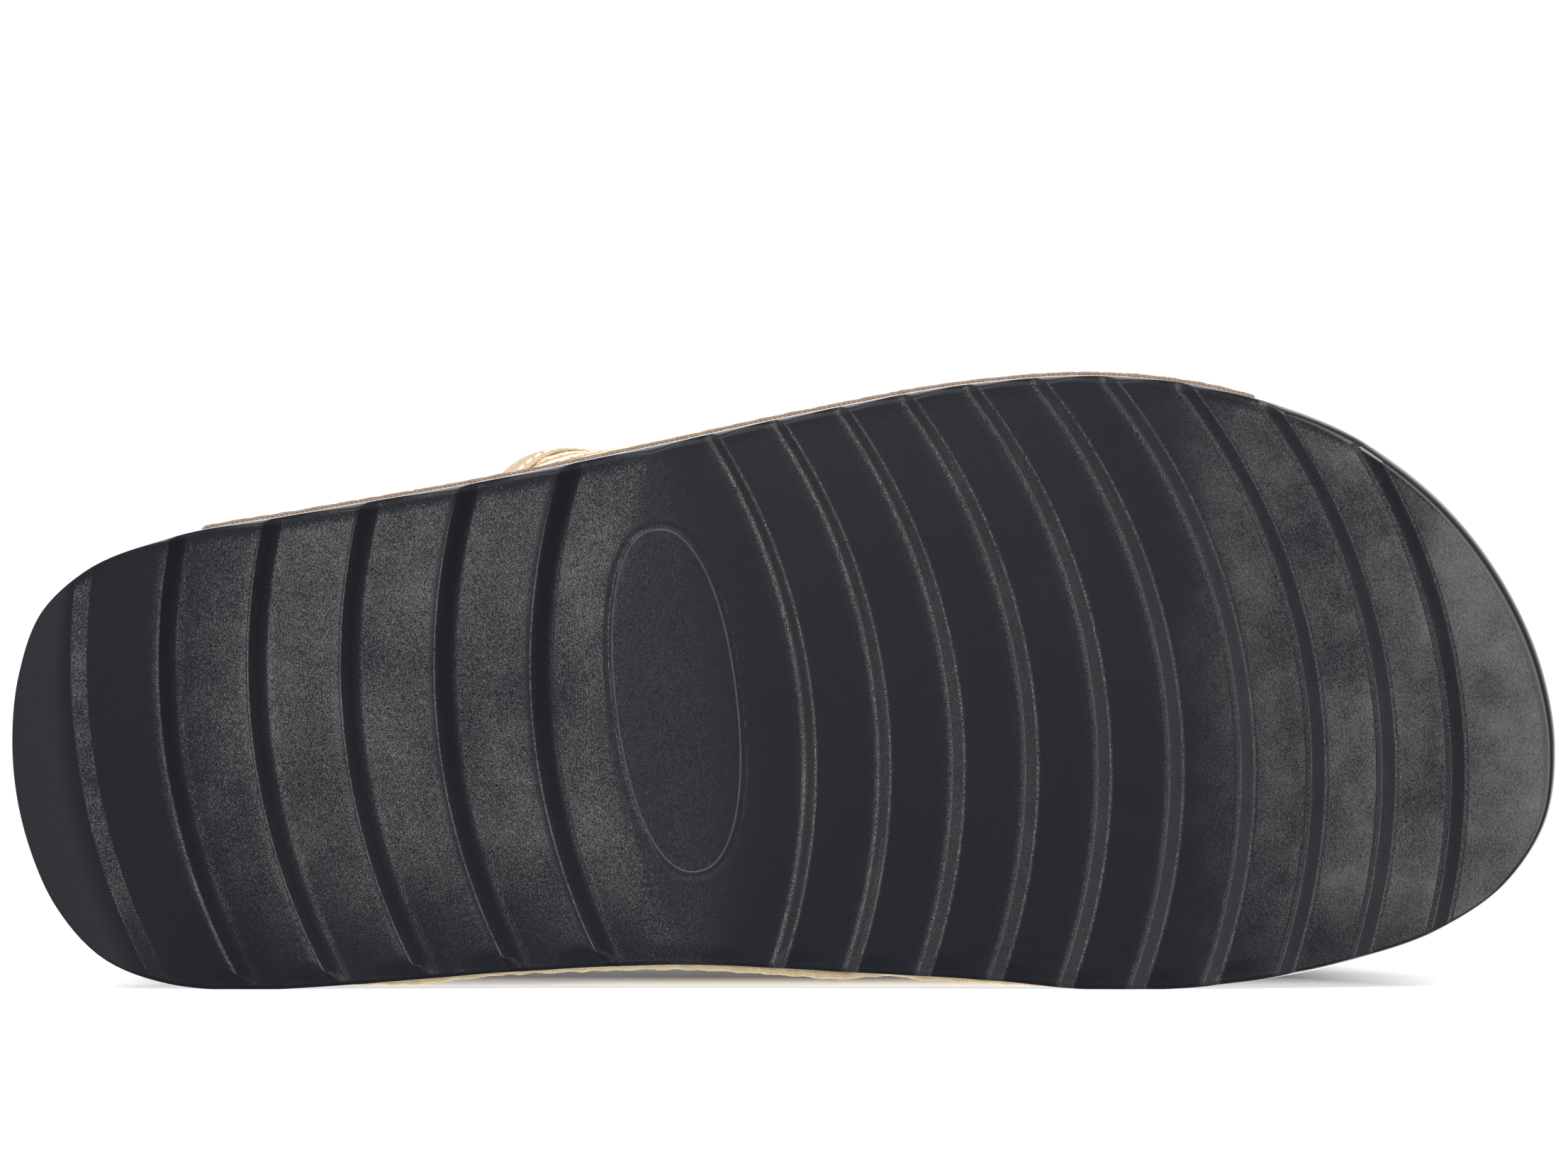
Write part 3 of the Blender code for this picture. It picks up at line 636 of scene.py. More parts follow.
def stand_for(piece, node):
    """The piece takes a node's place and rides on the body."""
    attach(piece, "root")
    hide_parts(node)


def go_with(piece):
    """The piece rides on the body."""
    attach(piece, "root")


# Shader tools


def mark(tree, name):
    """Value of one of the mesh's point attributes."""
    node = tree.nodes.new("ShaderNodeAttribute")
    node.attribute_name = name
    return node.outputs["Fac"]


def split(tree, vector):
    """Outputs with the three parts of a vector."""
    node = tree.nodes.new("ShaderNodeSeparateXYZ")
    tree.links.new(vector, node.inputs[0])
    return node.outputs


def math_node(tree, operation, first, second=None):
    """Math node whose inputs are sockets or numbers; gives its output socket."""
    node = tree.nodes.new("ShaderNodeMath")
    node.operation = operation
    for place, value in enumerate((first, second)):
        if value is None:
            continue
        if isinstance(value, (int, float)):
            node.inputs[place].default_value = value
        else:
            tree.links.new(value, node.inputs[place])
    return node.outputs[0]


def weigh(tree, first, first_share, second, second_share):
    """Sum of two values, each times its share."""
    return math_node(tree, "ADD", math_node(tree, "MULTIPLY", first, first_share),
                     math_node(tree, "MULTIPLY", second, second_share))


def rest_of(tree, share):
    """What a share leaves of 1."""
    return math_node(tree, "SUBTRACT", 1.0, share)


def highest(tree, value, *others):
    """Highest of several values."""
    for other in others:
        value = math_node(tree, "MAXIMUM", value, other)
    return value


def map_range(tree, value, low, high, to_low, to_high):
    """Map Range node from one span to another, clamped."""
    node = tree.nodes.new("ShaderNodeMapRange")
    tree.links.new(value, node.inputs["Value"])
    for name, number in (("From Min", low), ("From Max", high), ("To Min", to_low), ("To Max", to_high)):
        node.inputs[name].default_value = number
    return node.outputs["Result"]


def mix_colour(tree, factor, first, second):
    """Colour mix; colours are sockets or tuples."""
    node = tree.nodes.new("ShaderNodeMix")
    node.data_type = "RGBA"
    for socket, value in ((node.inputs[0], factor), (node.inputs[6], first), (node.inputs[7], second)):
        if isinstance(value, (int, float, tuple)):
            socket.default_value = value
        else:
            tree.links.new(value, socket)
    return node.outputs[2]


def noise(tree, vector, scale, detail=2.0, roughness=0.5, stretch=None):
    """Noise on a vector, which may be stretched first."""
    if stretch is not None:
        mapping = tree.nodes.new("ShaderNodeMapping")
        mapping.inputs["Scale"].default_value = stretch
        tree.links.new(vector, mapping.inputs["Vector"])
        vector = mapping.outputs["Vector"]
    node = tree.nodes.new("ShaderNodeTexNoise")
    tree.links.new(vector, node.inputs["Vector"])
    node.inputs["Scale"].default_value = scale
    node.inputs["Detail"].default_value = detail
    node.inputs["Roughness"].default_value = roughness
    return node.outputs["Fac"]


def new_group(name, inputs, outputs):
    """Shader node group with named sockets; gives the tree and its two end nodes."""
    tree = bpy.data.node_groups.new(name, "ShaderNodeTree")
    for label, kind, default in inputs:
        socket = tree.interface.new_socket(name=label, in_out="INPUT", socket_type=kind)
        if default is not None:
            socket.default_value = default
    for label, kind in outputs:
        tree.interface.new_socket(name=label, in_out="OUTPUT", socket_type=kind)
    return tree, tree.nodes.new("NodeGroupInput"), tree.nodes.new("NodeGroupOutput")


def fibre_group():
    """Fuzz of short fibres: a tone that varies from spot to spot and a fine height."""
    tree, given, result = new_group(
        "fibre_fuzz",
        [("Vector", "NodeSocketVector", None), ("Fineness", "NodeSocketFloat", 1.0)],
        [("Tone", "NodeSocketFloat"), ("Height", "NodeSocketFloat")])
    layers = []
    for scale, detail in FUZZ_LAYERS:
        node = tree.nodes.new("ShaderNodeTexNoise")
        node.inputs["Detail"].default_value = detail
        tree.links.new(given.outputs["Vector"], node.inputs["Vector"])
        tree.links.new(math_node(tree, "MULTIPLY", given.outputs["Fineness"], scale), node.inputs["Scale"])
        layers.append(node.outputs["Fac"])
    fine, broad = layers
    tone = weigh(tree, fine, 0.6, broad, 0.4)
    tree.links.new(map_range(tree, tone, *FUZZ_TONE), result.inputs["Tone"])
    tree.links.new(fine, result.inputs["Height"])
    return tree


def weave_group():
    """Weave with a diagonal rib, on yarn counts: height, the shade in the gaps, and a tone for each yarn."""
    tree, given, result = new_group(
        "yarn_weave", [("Yarns", "NodeSocketVector", None)],
        [("Height", "NodeSocketFloat"), ("Gap", "NodeSocketFloat"), ("Tone", "NodeSocketFloat")])
    parts = split(tree, given.outputs["Yarns"])
    heights = []
    tones = []
    for own, other, sign, seed in (("X", "Y", 1.0, YARN_SEEDS[0]), ("Y", "X", -1.0, YARN_SEEDS[1])):
        share = math_node(tree, "FRACT", parts[own])
        half = math_node(tree, "SINE", math_node(tree, "MULTIPLY", share, math.pi))
        crown = math_node(tree, "POWER", math_node(tree, "MAXIMUM", half, 0.0), YARN_ROUNDNESS)
        number = math_node(tree, "FLOOR", parts[own])
        turn = math_node(tree, "MULTIPLY", math_node(tree, "ADD", parts[other], number), math.pi)
        wave = math_node(tree, "MULTIPLY", math_node(tree, "COSINE", turn), sign)
        lift = math_node(tree, "ADD", math_node(tree, "MULTIPLY", wave, 0.5), 0.5)
        heights.append(math_node(tree, "MULTIPLY", crown, lift))
        white = tree.nodes.new("ShaderNodeTexWhiteNoise")
        white.noise_dimensions = "1D"
        tree.links.new(math_node(tree, "ADD", number, seed), white.inputs["W"])
        tones.append(white.outputs["Value"])
    height = highest(tree, *heights)
    over = math_node(tree, "GREATER_THAN", *heights)
    tree.links.new(height, result.inputs["Height"])
    tree.links.new(map_range(tree, height, *YARN_GAP), result.inputs["Gap"])
    tree.links.new(weigh(tree, tones[0], over, tones[1], rest_of(tree, over)), result.inputs["Tone"])
    return tree


def blank_material(name, roughness, sockets=()):
    """Material with its Principled shader; constant values go straight on the shader's sockets."""
    material = bpy.data.materials.new(name)
    material.use_nodes = True
    tree = material.node_tree
    shader = tree.nodes["Principled BSDF"]
    shader.inputs["Roughness"].default_value = roughness
    for label, value in sockets:
        shader.inputs[label].default_value = value
    place = tree.nodes.new("ShaderNodeTexCoord").outputs["Object"]
    return material, tree, shader, place


def use_bump(tree, shader, height, distance):
    """Bump from a height socket into the shader's normal."""
    bump = tree.nodes.new("ShaderNodeBump")
    bump.inputs["Distance"].default_value = distance
    tree.links.new(height, bump.inputs["Height"])
    tree.links.new(bump.outputs["Normal"], shader.inputs["Normal"])


def lint(tree, place):
    """1 on small scattered specks, 0 elsewhere."""
    cells = tree.nodes.new("ShaderNodeTexVoronoi")
    cells.inputs["Scale"].default_value = 130.0
    tree.links.new(place, cells.inputs["Vector"])
    speck = map_range(tree, cells.outputs["Distance"], *LINT_SIZE)
    return math_node(tree, "MULTIPLY", speck,
                     math_node(tree, "GREATER_THAN", noise(tree, place, 90.0, 1.0), LINT_RARITY))


def foam_material():
    """Black moulded foam rubber: a dull ground with fine glinting grain on the tread, a shinier wall.

    The glint comes from patches of coat on the grain; it is sharp in the heel and softer in the forefoot.
    """
    material, tree, shader, place = blank_material(
        "black_foam", 0.55, [("Specular IOR Level", 0.12), ("Coat Roughness", 0.15)])
    wall, wear, painted_shading, painted_highlight = [mark(tree, name) for name in ("wall", "wear", "painted_shading", "painted_highlight")]
    grain = weigh(tree, noise(tree, place, 1.0, 1.0, 0.6, GRAIN), 0.70,
                  noise(tree, place, 1.0, 1.0, 0.5, STREAK), 0.30)
    blotch = weigh(tree, noise(tree, place, 46.0, 3.0, 0.55), 0.65, noise(tree, place, 170.0, 4.0, 0.6), 0.35)
    forefoot = map_range(tree, split(tree, place)["X"], *FOREFOOT)
    stronger = math_node(tree, "ADD", forefoot, 1.0)
    patches = math_node(tree, "MULTIPLY", map_range(tree, blotch, *PATCHES), stronger)
    worn = math_node(tree, "ADD", math_node(tree, "ADD", grain, patches), wear)
    glint = weigh(tree, map_range(tree, worn, *SMOOTH_GLINT), forefoot,
                  map_range(tree, worn, *SHARP_GLINT), rest_of(tree, forefoot))
    # The painted shade on the heel's ramps also holds back their glint
    shown = math_node(tree, "MULTIPLY", glint, map_range(tree, painted_shading, *GLINT_IN_PAINTED_SHADE))
    tree.links.new(weigh(tree, shown, rest_of(tree, wall), wall, WALL_COAT), shader.inputs["Coat Weight"])
    tree.links.new(map_range(tree, worn, *GRAIN_ROUGHNESS), shader.inputs["Roughness"])
    colour = mix_colour(tree, glint, FOAM_DULL, FOAM_GLINT)
    # Painted shade makes the colour blacker, painted light greyer and painted highlight paler along lines;
    # lint is real specks
    for share, over in ((map_range(tree, painted_shading, -1.0, 0.0, 1.0, 0.0), FOAM_PAINTED_SHADE),
                        (map_range(tree, painted_shading, 0.0, 1.0, 0.0, 1.0), FOAM_PAINTED_LIGHT),
                        (math_node(tree, "MULTIPLY", painted_highlight, map_range(tree, grain, *GRAIN_IN_PAINTED_HIGHLIGHT)), FOAM_PAINTED_HIGHLIGHT),
                        (lint(tree, place), LINT_COLOUR)):
        colour = mix_colour(tree, share, colour, over)
    tree.links.new(colour, shader.inputs["Base Color"])
    height = math_node(tree, "MULTIPLY", grain, map_range(tree, wall, 0.0, 1.0, 1.0, WALL_GRAIN))
    use_bump(tree, shader, height, GRAIN_HEIGHT)
    return material


def bead_material():
    """The same foam where a thin moulded edge has a little more shine, and a lighter colour that is a painted
    highlight.
    """
    material, tree, shader, place = blank_material("bead_painted_highlight", 0.34, [("Specular IOR Level", 0.20)])
    painted_highlight = noise(tree, place, 900.0, 2.0)
    tree.links.new(mix_colour(tree, painted_highlight, BEAD_HIGHLIGHT_DIM, BEAD_HIGHLIGHT_BRIGHT), shader.inputs["Base Color"])
    return material


def fibre_outputs(tree, fuzz, fineness, place):
    """Tone and height of the fuzz at a place."""
    fibre = tree.nodes.new("ShaderNodeGroup")
    fibre.node_tree = fuzz
    fibre.inputs["Fineness"].default_value = fineness
    tree.links.new(place, fibre.inputs["Vector"])
    return fibre.outputs


def woven_material(name, fuzz, weave):
    """Woven cloth: yarns with their own tone, shade in the gaps and a fuzz of fibres."""
    cloth = WOVEN[name]
    material, tree, shader, place = blank_material(
        name, 0.85, [("Sheen Weight", cloth.sheen), ("Sheen Roughness", 0.5)])
    fibre = fibre_outputs(tree, fuzz, cloth.fineness, place)
    yarn = tree.nodes.new("ShaderNodeGroup")
    yarn.node_tree = weave
    counts = tree.nodes.new("ShaderNodeUVMap")
    counts.uv_map = "yarns"
    tree.links.new(counts.outputs["UV"], yarn.inputs["Yarns"])
    tone = weigh(tree, yarn.outputs["Tone"], cloth.yarn_tone, fibre["Tone"], 1.0 - cloth.yarn_tone)
    colour = mix_colour(tree, tone, cloth.deep, cloth.light)
    colour = mix_colour(tree, yarn.outputs["Gap"], colour, cloth.gap)
    # Painted light: the medial hem is painted in paler colours
    if cloth.faded is not None:
        colour = mix_colour(tree, mark(tree, "pale"), colour, mix_colour(tree, tone, *cloth.faded))
    tree.links.new(colour, shader.inputs["Base Color"])
    use_bump(tree, shader, weigh(tree, yarn.outputs["Height"], 0.75, fibre["Height"], 0.25), cloth.relief)
    return material


def plain_material(name, fuzz):
    """Cloth without a visible weave: brushed lining, footbed or thread."""
    cloth = PLAIN[name]
    material, tree, shader, place = blank_material(
        name, cloth.roughness, [("Sheen Weight", cloth.sheen), ("Sheen Roughness", 0.4)])
    fibre = fibre_outputs(tree, fuzz, cloth.fineness, place)
    tree.links.new(mix_colour(tree, fibre["Tone"], cloth.deep, cloth.light), shader.inputs["Base Color"])
    use_bump(tree, shader, fibre["Height"], cloth.relief)
    return material


def floor_material():
    """Plain pale floor that glows in front, behind and at both ends, so that shade is left only between."""
    material, tree, shader, place = blank_material(
        "pale_floor", 0.7, [("Emission Strength", 1.0), ("Specular IOR Level", 0.0)])
    parts = split(tree, place)
    glow = highest(tree, map_range(tree, parts["Y"], *GLOW_FRONT), map_range(tree, parts["Y"], *GLOW_BACK),
                   map_range(tree, math_node(tree, "ABSOLUTE", parts["X"]), *GLOW_ASIDE))
    tree.links.new(glow, shader.inputs["Emission Color"])
    cloud = noise(tree, place, 3.0, 2.0)
    tree.links.new(mix_colour(tree, cloud, *FLOOR_COLOURS), shader.inputs["Base Color"])
    return material


# Sole


def seat_height(along):
    """Height of the outsole's upper face under the midsole."""
    return table_value(STATIONS, "seat_height", along)


def tread_lift(along):
    """Toe spring, arch and heel bevel of the tread."""
    return table_value(STATIONS, "tread_lift", along)


def on_lateral(index):
    """True on the lateral half of the outline."""
    return (np.asarray(index) % OUTLINE_SAMPLES) <= TOE_INDEX


def over_midsole(along):
    """Height just over the midsole, where the insole and the strap's feet lie."""
    return seat_height(along) + MIDSOLE_THICKNESS + 2.0 * GAP


def heel_crest(rib):
    """Apex place of a heel rib's crest."""
    return HEEL_FIRST_CREST + rib * (HEEL_PITCH + HEEL_PITCH_GROWTH * rib)


def heel_valley(rib):
    """Apex place where a heel rib's ramp ends."""
    return heel_crest(rib) + HEEL_RAMP + HEEL_RAMP_GROWTH * rib


def fore_ramp(rib):
    """Apex places where a forefoot rib's ramp starts and ends."""
    valley = FORE_FIRST_VALLEY + rib * (FORE_PITCH + FORE_PITCH_GROWTH * rib)
    return valley, valley + FORE_RAMP + FORE_RAMP_GROWTH * rib


def rib_profile():
    """Turning points of the tread's sawtooth: apex place and depth."""
    turns = [(HEEL_BEYOND, 2.0 * HEEL_END_RELIEF), (HEEL_APEX, HEEL_END_RELIEF)]
    turns += [(HEEL_FIRST_CREST, HEEL_BAND_RELIEF), (heel_valley(0), HEEL_BAND_RELIEF)]
    for rib in range(1, HEEL_RIB_COUNT):
        crest = heel_crest(rib)
        facet = HEEL_FACET if rib == 1 else 0.5 * HEEL_FACET
        turns += [(crest - FACET_BEFORE * facet, 0.0), (crest + FACET_AFTER * facet, FACET_DROP * facet)]
        turns.append((heel_valley(rib), HEEL_RIB_DEPTH))
    last_valley = turns[-1][0]
    for share in np.linspace(0.1, 0.9, 9):
        turns.append((last_valley + (WAIST_RIDGE - last_valley) * share, HEEL_RIB_DEPTH * (1.0 - share) ** 2))
    for share in np.linspace(0.0, 0.9, 10):
        turns.append((WAIST_RIDGE + (FORE_FIRST_VALLEY - WAIST_RIDGE) * share, FORE_RIB_DEPTH * share ** 2))
    valley_end = FORE_RIB_DEPTH - FACET_SLOPE * VALLEY_FACET
    for rib in range(FORE_RIB_COUNT):
        valley, crest = fore_ramp(rib)
        turns += [(valley - VALLEY_FACET, FORE_RIB_DEPTH), (valley + VALLEY_FACET, valley_end)]
        turns += [(crest - CREST_FACET, FACET_SLOPE * CREST_FACET), (crest + CREST_FACET, 0.0)]
    turns += [(TOE_APEX, TOE_END_RELIEF), (TOE_BEYOND, 2.0 * TOE_END_RELIEF)]
    return np.array(turns)


def turn_round(apex):
    """How far the rounding of a turn reaches: little in the heel, more in the forefoot."""
    return np.where(np.asarray(apex) < WAIST_ROWS[0], HEEL_ROUND, FORE_ROUND)


def rib_relief(apex):
    """Depth of the tread under its highest crest, with the sawtooth's turns rounded."""
    turns = rib_profile()
    apex = np.asarray(apex, dtype=float)
    total = np.zeros_like(apex)
    window = np.linspace(-1.0, 1.0, 13)
    weight = 1.0 - np.abs(window) * 0.8
    for place, share in zip(window, weight / weight.sum()):
        total = total + share * np.interp(apex + place * turn_round(apex), turns[:, 0], turns[:, 1])
    for rib in range(HEEL_RIB_COUNT - 1):
        valley = heel_valley(rib)
        share = np.clip((apex - valley) / (heel_crest(rib + 1) - valley), 0.0, 1.0)
        total = total - 4.0 * (HEEL_SLOPE_BOW if rib else FIRST_SLOPE_BOW) * share * (1.0 - share)
    return total


def rib_rows():
    """Apex places of the tread's rows, closer together where the profile turns and round the oval."""
    turns = rib_profile()[2:-2, 0]
    places = [HEEL_FIRST_CREST - HEEL_END_ROW] + list(np.arange(*WAIST_ROWS))
    for turn in turns:
        steps = 1 if turn < WAIST_ROWS[0] else 2
        if WAIST_ROWS[0] < turn < WAIST_ROWS[1]:
            continue
        places.extend(turn + np.arange(-steps, steps + 1) / steps * float(turn_round(turn)))
    places = np.unique(np.round(places, 4))
    places = places[np.concatenate([[True], np.diff(places) > ROW_GAP])]
    filled = [places[0]]
    for after in places[1:]:
        steps = max(1, int(math.ceil((after - filled[-1]) / ROW_STEP)))
        filled.extend(np.linspace(filled[-1], after, steps + 1)[1:])
    return np.array(filled)


def tread_wear(apex, across):
    """How far the grain is rubbed shiny: by zone, less at the lateral toe, and more on the ribs' turns."""
    worn = np.interp(apex, *zip(*WEAR))
    for rib in range(1, HEEL_RIB_COUNT):
        line = near(apex, heel_crest(rib) - CREST_WEAR_LEAD, CREST_WEAR_WIDTH)
        worn = worn + line * (CREST_WEAR if rib == 1 else 0.5 * CREST_WEAR)
    for rib in range(FORE_RIB_COUNT):
        for place, width in zip(fore_ramp(rib), FORE_WEAR_WIDTHS):
            worn = worn + 0.5 * CREST_WEAR * near(apex, place, width)
    lateral_toe = smooth_step(across, *LATERAL_TOE_ACROSS) * smooth_step(apex, *LATERAL_TOE_APEX)
    return worn + LATERAL_TOE_WEAR * lateral_toe


def tread_painted_shading(apex):
    """Greyer painted light above 0, blacker painted shade below: a painted sheen on the heel end, shade on
    the heel's ramps, light on the forefoot's ramps.
    """
    painted_shading = np.interp(apex, HEEL_END_SPAN, (HEEL_END_PAINTED_SHEEN, 0.0))
    spans = [(heel_crest(rib), heel_valley(rib), HEEL_RAMP_PAINTED_SHADE) for rib in range(1, HEEL_RIB_COUNT)]
    for rib in range(FORE_RIB_COUNT - 1):
        spans.append(fore_ramp(rib) + (FORE_RAMP_PAINTED_LIGHT if rib < FIRST_TOE_RIB else TOE_RAMP_PAINTED_LIGHT,))
    for start, end, amount in spans:
        inside = smooth_step(apex, start, start + PAINTED_SHADING_EDGE) * (1.0 - smooth_step(apex, end - PAINTED_SHADING_EDGE, end))
        painted_shading = painted_shading + amount * inside
    return painted_shading


def tread_painted_highlight(apex, across):
    """1 along the two lines of each forefoot ramp, a painted highlight on the grain, and less round the oval,
    a painted glint.

    The valley's line fades low down.
    """
    painted_highlight = OVAL_PAINTED_GLINT * smooth_step(apex, *OVAL_PAINTED_GLINT_START) * (1.0 - smooth_step(apex, *OVAL_PAINTED_GLINT_END))
    fading = 0.5 + 0.5 * smooth_step(across, *VALLEY_HIGHLIGHT_FADE)
    for rib in range(FORE_RIB_COUNT):
        valley, crest = fore_ramp(rib)
        painted_highlight = np.maximum(painted_highlight, near(apex, valley, VALLEY_HIGHLIGHT_WIDTH) * fading)
        painted_highlight = np.maximum(painted_highlight, near(apex, crest, CREST_HIGHLIGHT_WIDTH))
    return painted_highlight


def oval_distance(places):
    """Distance outside the oval line in the waist; it is negative inside."""
    along = places[..., 0] - OVAL_MIDDLE[0]
    across = places[..., 1] - OVAL_MIDDLE[1]
    short = along * math.cos(OVAL_TILT) + across * math.sin(OVAL_TILT)
    long = across * math.cos(OVAL_TILT) - along * math.sin(OVAL_TILT)
    level = (np.abs(short / OVAL_HALF[0]) ** OVAL_SQUARENESS + np.abs(long / OVAL_HALF[1]) ** OVAL_SQUARENESS)
    radius = level ** (1.0 / OVAL_SQUARENESS)
    slope = np.hypot(short / OVAL_HALF[0] ** 2, long / OVAL_HALF[1] ** 2) / np.maximum(radius, 1e-6)
    return (radius - 1.0) / np.maximum(slope, 1e-3)


def oval_moat(places):
    """Shallow moat outside the oval's bead."""
    apart = (oval_distance(places) - OVAL_MOAT_PLACE) / OVAL_MOAT_WIDTH
    return OVAL_MOAT_DEPTH * np.maximum(0.0, 1.0 - apart ** 2) ** 2


def build_oval_bead(material):
    """Thin moulded bead round the oval, half sunk in the tread."""
    turn = np.linspace(0.0, 2.0 * math.pi, OVAL_STEPS, endpoint=False)
    power = 2.0 / OVAL_SQUARENESS
    short = OVAL_HALF[0] * np.sign(np.cos(turn)) * np.abs(np.cos(turn)) ** power
    long = OVAL_HALF[1] * np.sign(np.sin(turn)) * np.abs(np.sin(turn)) ** power
    path = np.stack([OVAL_MIDDLE[0] + short * math.cos(OVAL_TILT) - long * math.sin(OVAL_TILT),
                     OVAL_MIDDLE[1] + short * math.sin(OVAL_TILT) + long * math.cos(OVAL_TILT)], axis=1)
    ahead = np.roll(path, -1, axis=0) - np.roll(path, 1, axis=0)
    ahead /= np.linalg.norm(ahead, axis=1)[:, None]
    out = np.stack([ahead[:, 1], -ahead[:, 0]], axis=1)
    rings = []
    for angle in np.linspace(0.0, 2.0 * math.pi, OVAL_BEAD_SIDES, endpoint=False):
        side = path + out * OVAL_BEAD_WIDTH * math.cos(angle)
        level = tread_lift(side[:, 0]) + rib_relief(apex_of(side)) + oval_moat(side)
        rings.append(with_height(side, level - OVAL_BEAD_HEIGHT * math.sin(angle)))
    ids = np.arange(len(path) * len(rings)).reshape(len(rings), len(path))
    faces = [ring_faces(low, high) for low, high in zip(ids, np.roll(ids, -1, axis=0))]
    piece = make_piece("oval_bead", np.vstack(rings), np.vstack(faces), [material])
    point_outwards(piece)
    go_with(piece)


def point_outwards(piece):
    """Turn the faces of a closed piece outwards."""
    shape = bmesh.new()
    shape.from_mesh(piece.data)
    bmesh.ops.recalc_face_normals(shape, faces=shape.faces)
    shape.to_mesh(piece.data)
    shape.free()


def edge_band(index):
    """Width of the bevel seen round the tread: broad on the lateral side and toe, narrow elsewhere."""
    place = read_curve(CURVE, index)
    lateral = LATERAL_BEVEL.least + LATERAL_BEVEL.growth * smooth_step(place[..., 0], *LATERAL_BEVEL.span)
    front = FRONT_BEVEL.least + FRONT_BEVEL.growth * smooth_step(place[..., 1], *FRONT_BEVEL.span)
    side = np.where(on_lateral(index), lateral, MEDIAL_BEVEL)
    return side + (front - side) * smooth_step(place[..., 0], *FRONT_BEVEL_ALONG)


def rim_share(index):
    """1 where the toe or heel rim is full, 0 between the rims."""
    along = read_curve(CURVE, index)[..., 0]
    shares = {}
    for side, ends in RIM_ENDS.items():
        heel = 1.0 - smooth_step(along, ends.heel_full, ends.heel_end)
        shares[side] = heel + smooth_step(along, ends.toe_end, ends.toe_full)
    return np.where(on_lateral(index), shares["lateral"], shares["medial"])


def tread_shares():
    """Shares across the tread, closer together at both sides and at the ends of the oval."""
    side = np.array(SIDE_SHARES)
    return np.concatenate([side] + [np.linspace(*span) for span in MIDDLE_SHARES] + [1.0 - side[::-1]])


def tread_grid():
    """Grid of the tread from heel to toe: places, their apexes, shares, and its loop on the outline."""
    shares = tread_shares()
    inset = lambda index: -edge_band(index)
    apexes = rib_rows()
    arcs = [arc_row(bend_at(apex), apex, inset, shares) for apex in apexes]
    heel = end_row(HEEL_CORNER, "heel", inset, shares, HEEL_APEX)
    toe = end_row(TOE_CORNER, "toe", inset, shares, TOE_APEX)
    rows = [heel] + rows_between(heel, arcs[0], HEEL_END_STEPS, inset, shares) + arcs
    last_arc = len(rows) - 1
    rows = rows + rows_between(arcs[-1], toe, TOE_END_STEPS, inset, shares) + [toe]
    places = np.stack([row.places for row in rows])
    apex = np.stack([np.full(len(shares), row.apex) for row in rows])
    ahead = apex_of(places[last_arc:])
    apex[last_arc:] = np.clip(apexes[-1] + ahead - ahead[0], apexes[-1], TOE_APEX)
    return places, apex, shares, loop_places(rows, shares)


def wall_rings(index, offset, flare, start):
    """Rings from the tread's edge up: bevel, flared wall, lip and top of the rim, then down to the seat."""
    along = read_curve(CURVE, index)[:, 0]
    share = rim_share(index)
    top = seat_height(along) + RIM_HEIGHT * share
    low = tread_lift(along) + EDGE_RISE
    even = np.zeros(len(index))
    rings = []
    for turn in np.radians(BEVEL_TURNS):
        around = outline_at(index, offset + (-flare - offset) * math.sin(turn))
        rings.append(with_height(around, start + (low - start) * (1.0 - math.cos(turn))))
    for drop, lip in WALL_LIP:
        rings.append(with_height(outline_at(index, -flare * (1.0 - lip)), top - drop))
    for out, drop in RIM_TOP:
        rings.append(with_height(outline_at(index, even + out), top - drop))
    rings.append(with_height(outline_at(index, even - RIM_WALL), top - RIM_ROUND * share))
    seat_edge = outline_at(index, even - RIM_WALL - RIM_DRAFT)
    rings.append(with_height(seat_edge, seat_height(seat_edge[:, 0])))
    return rings


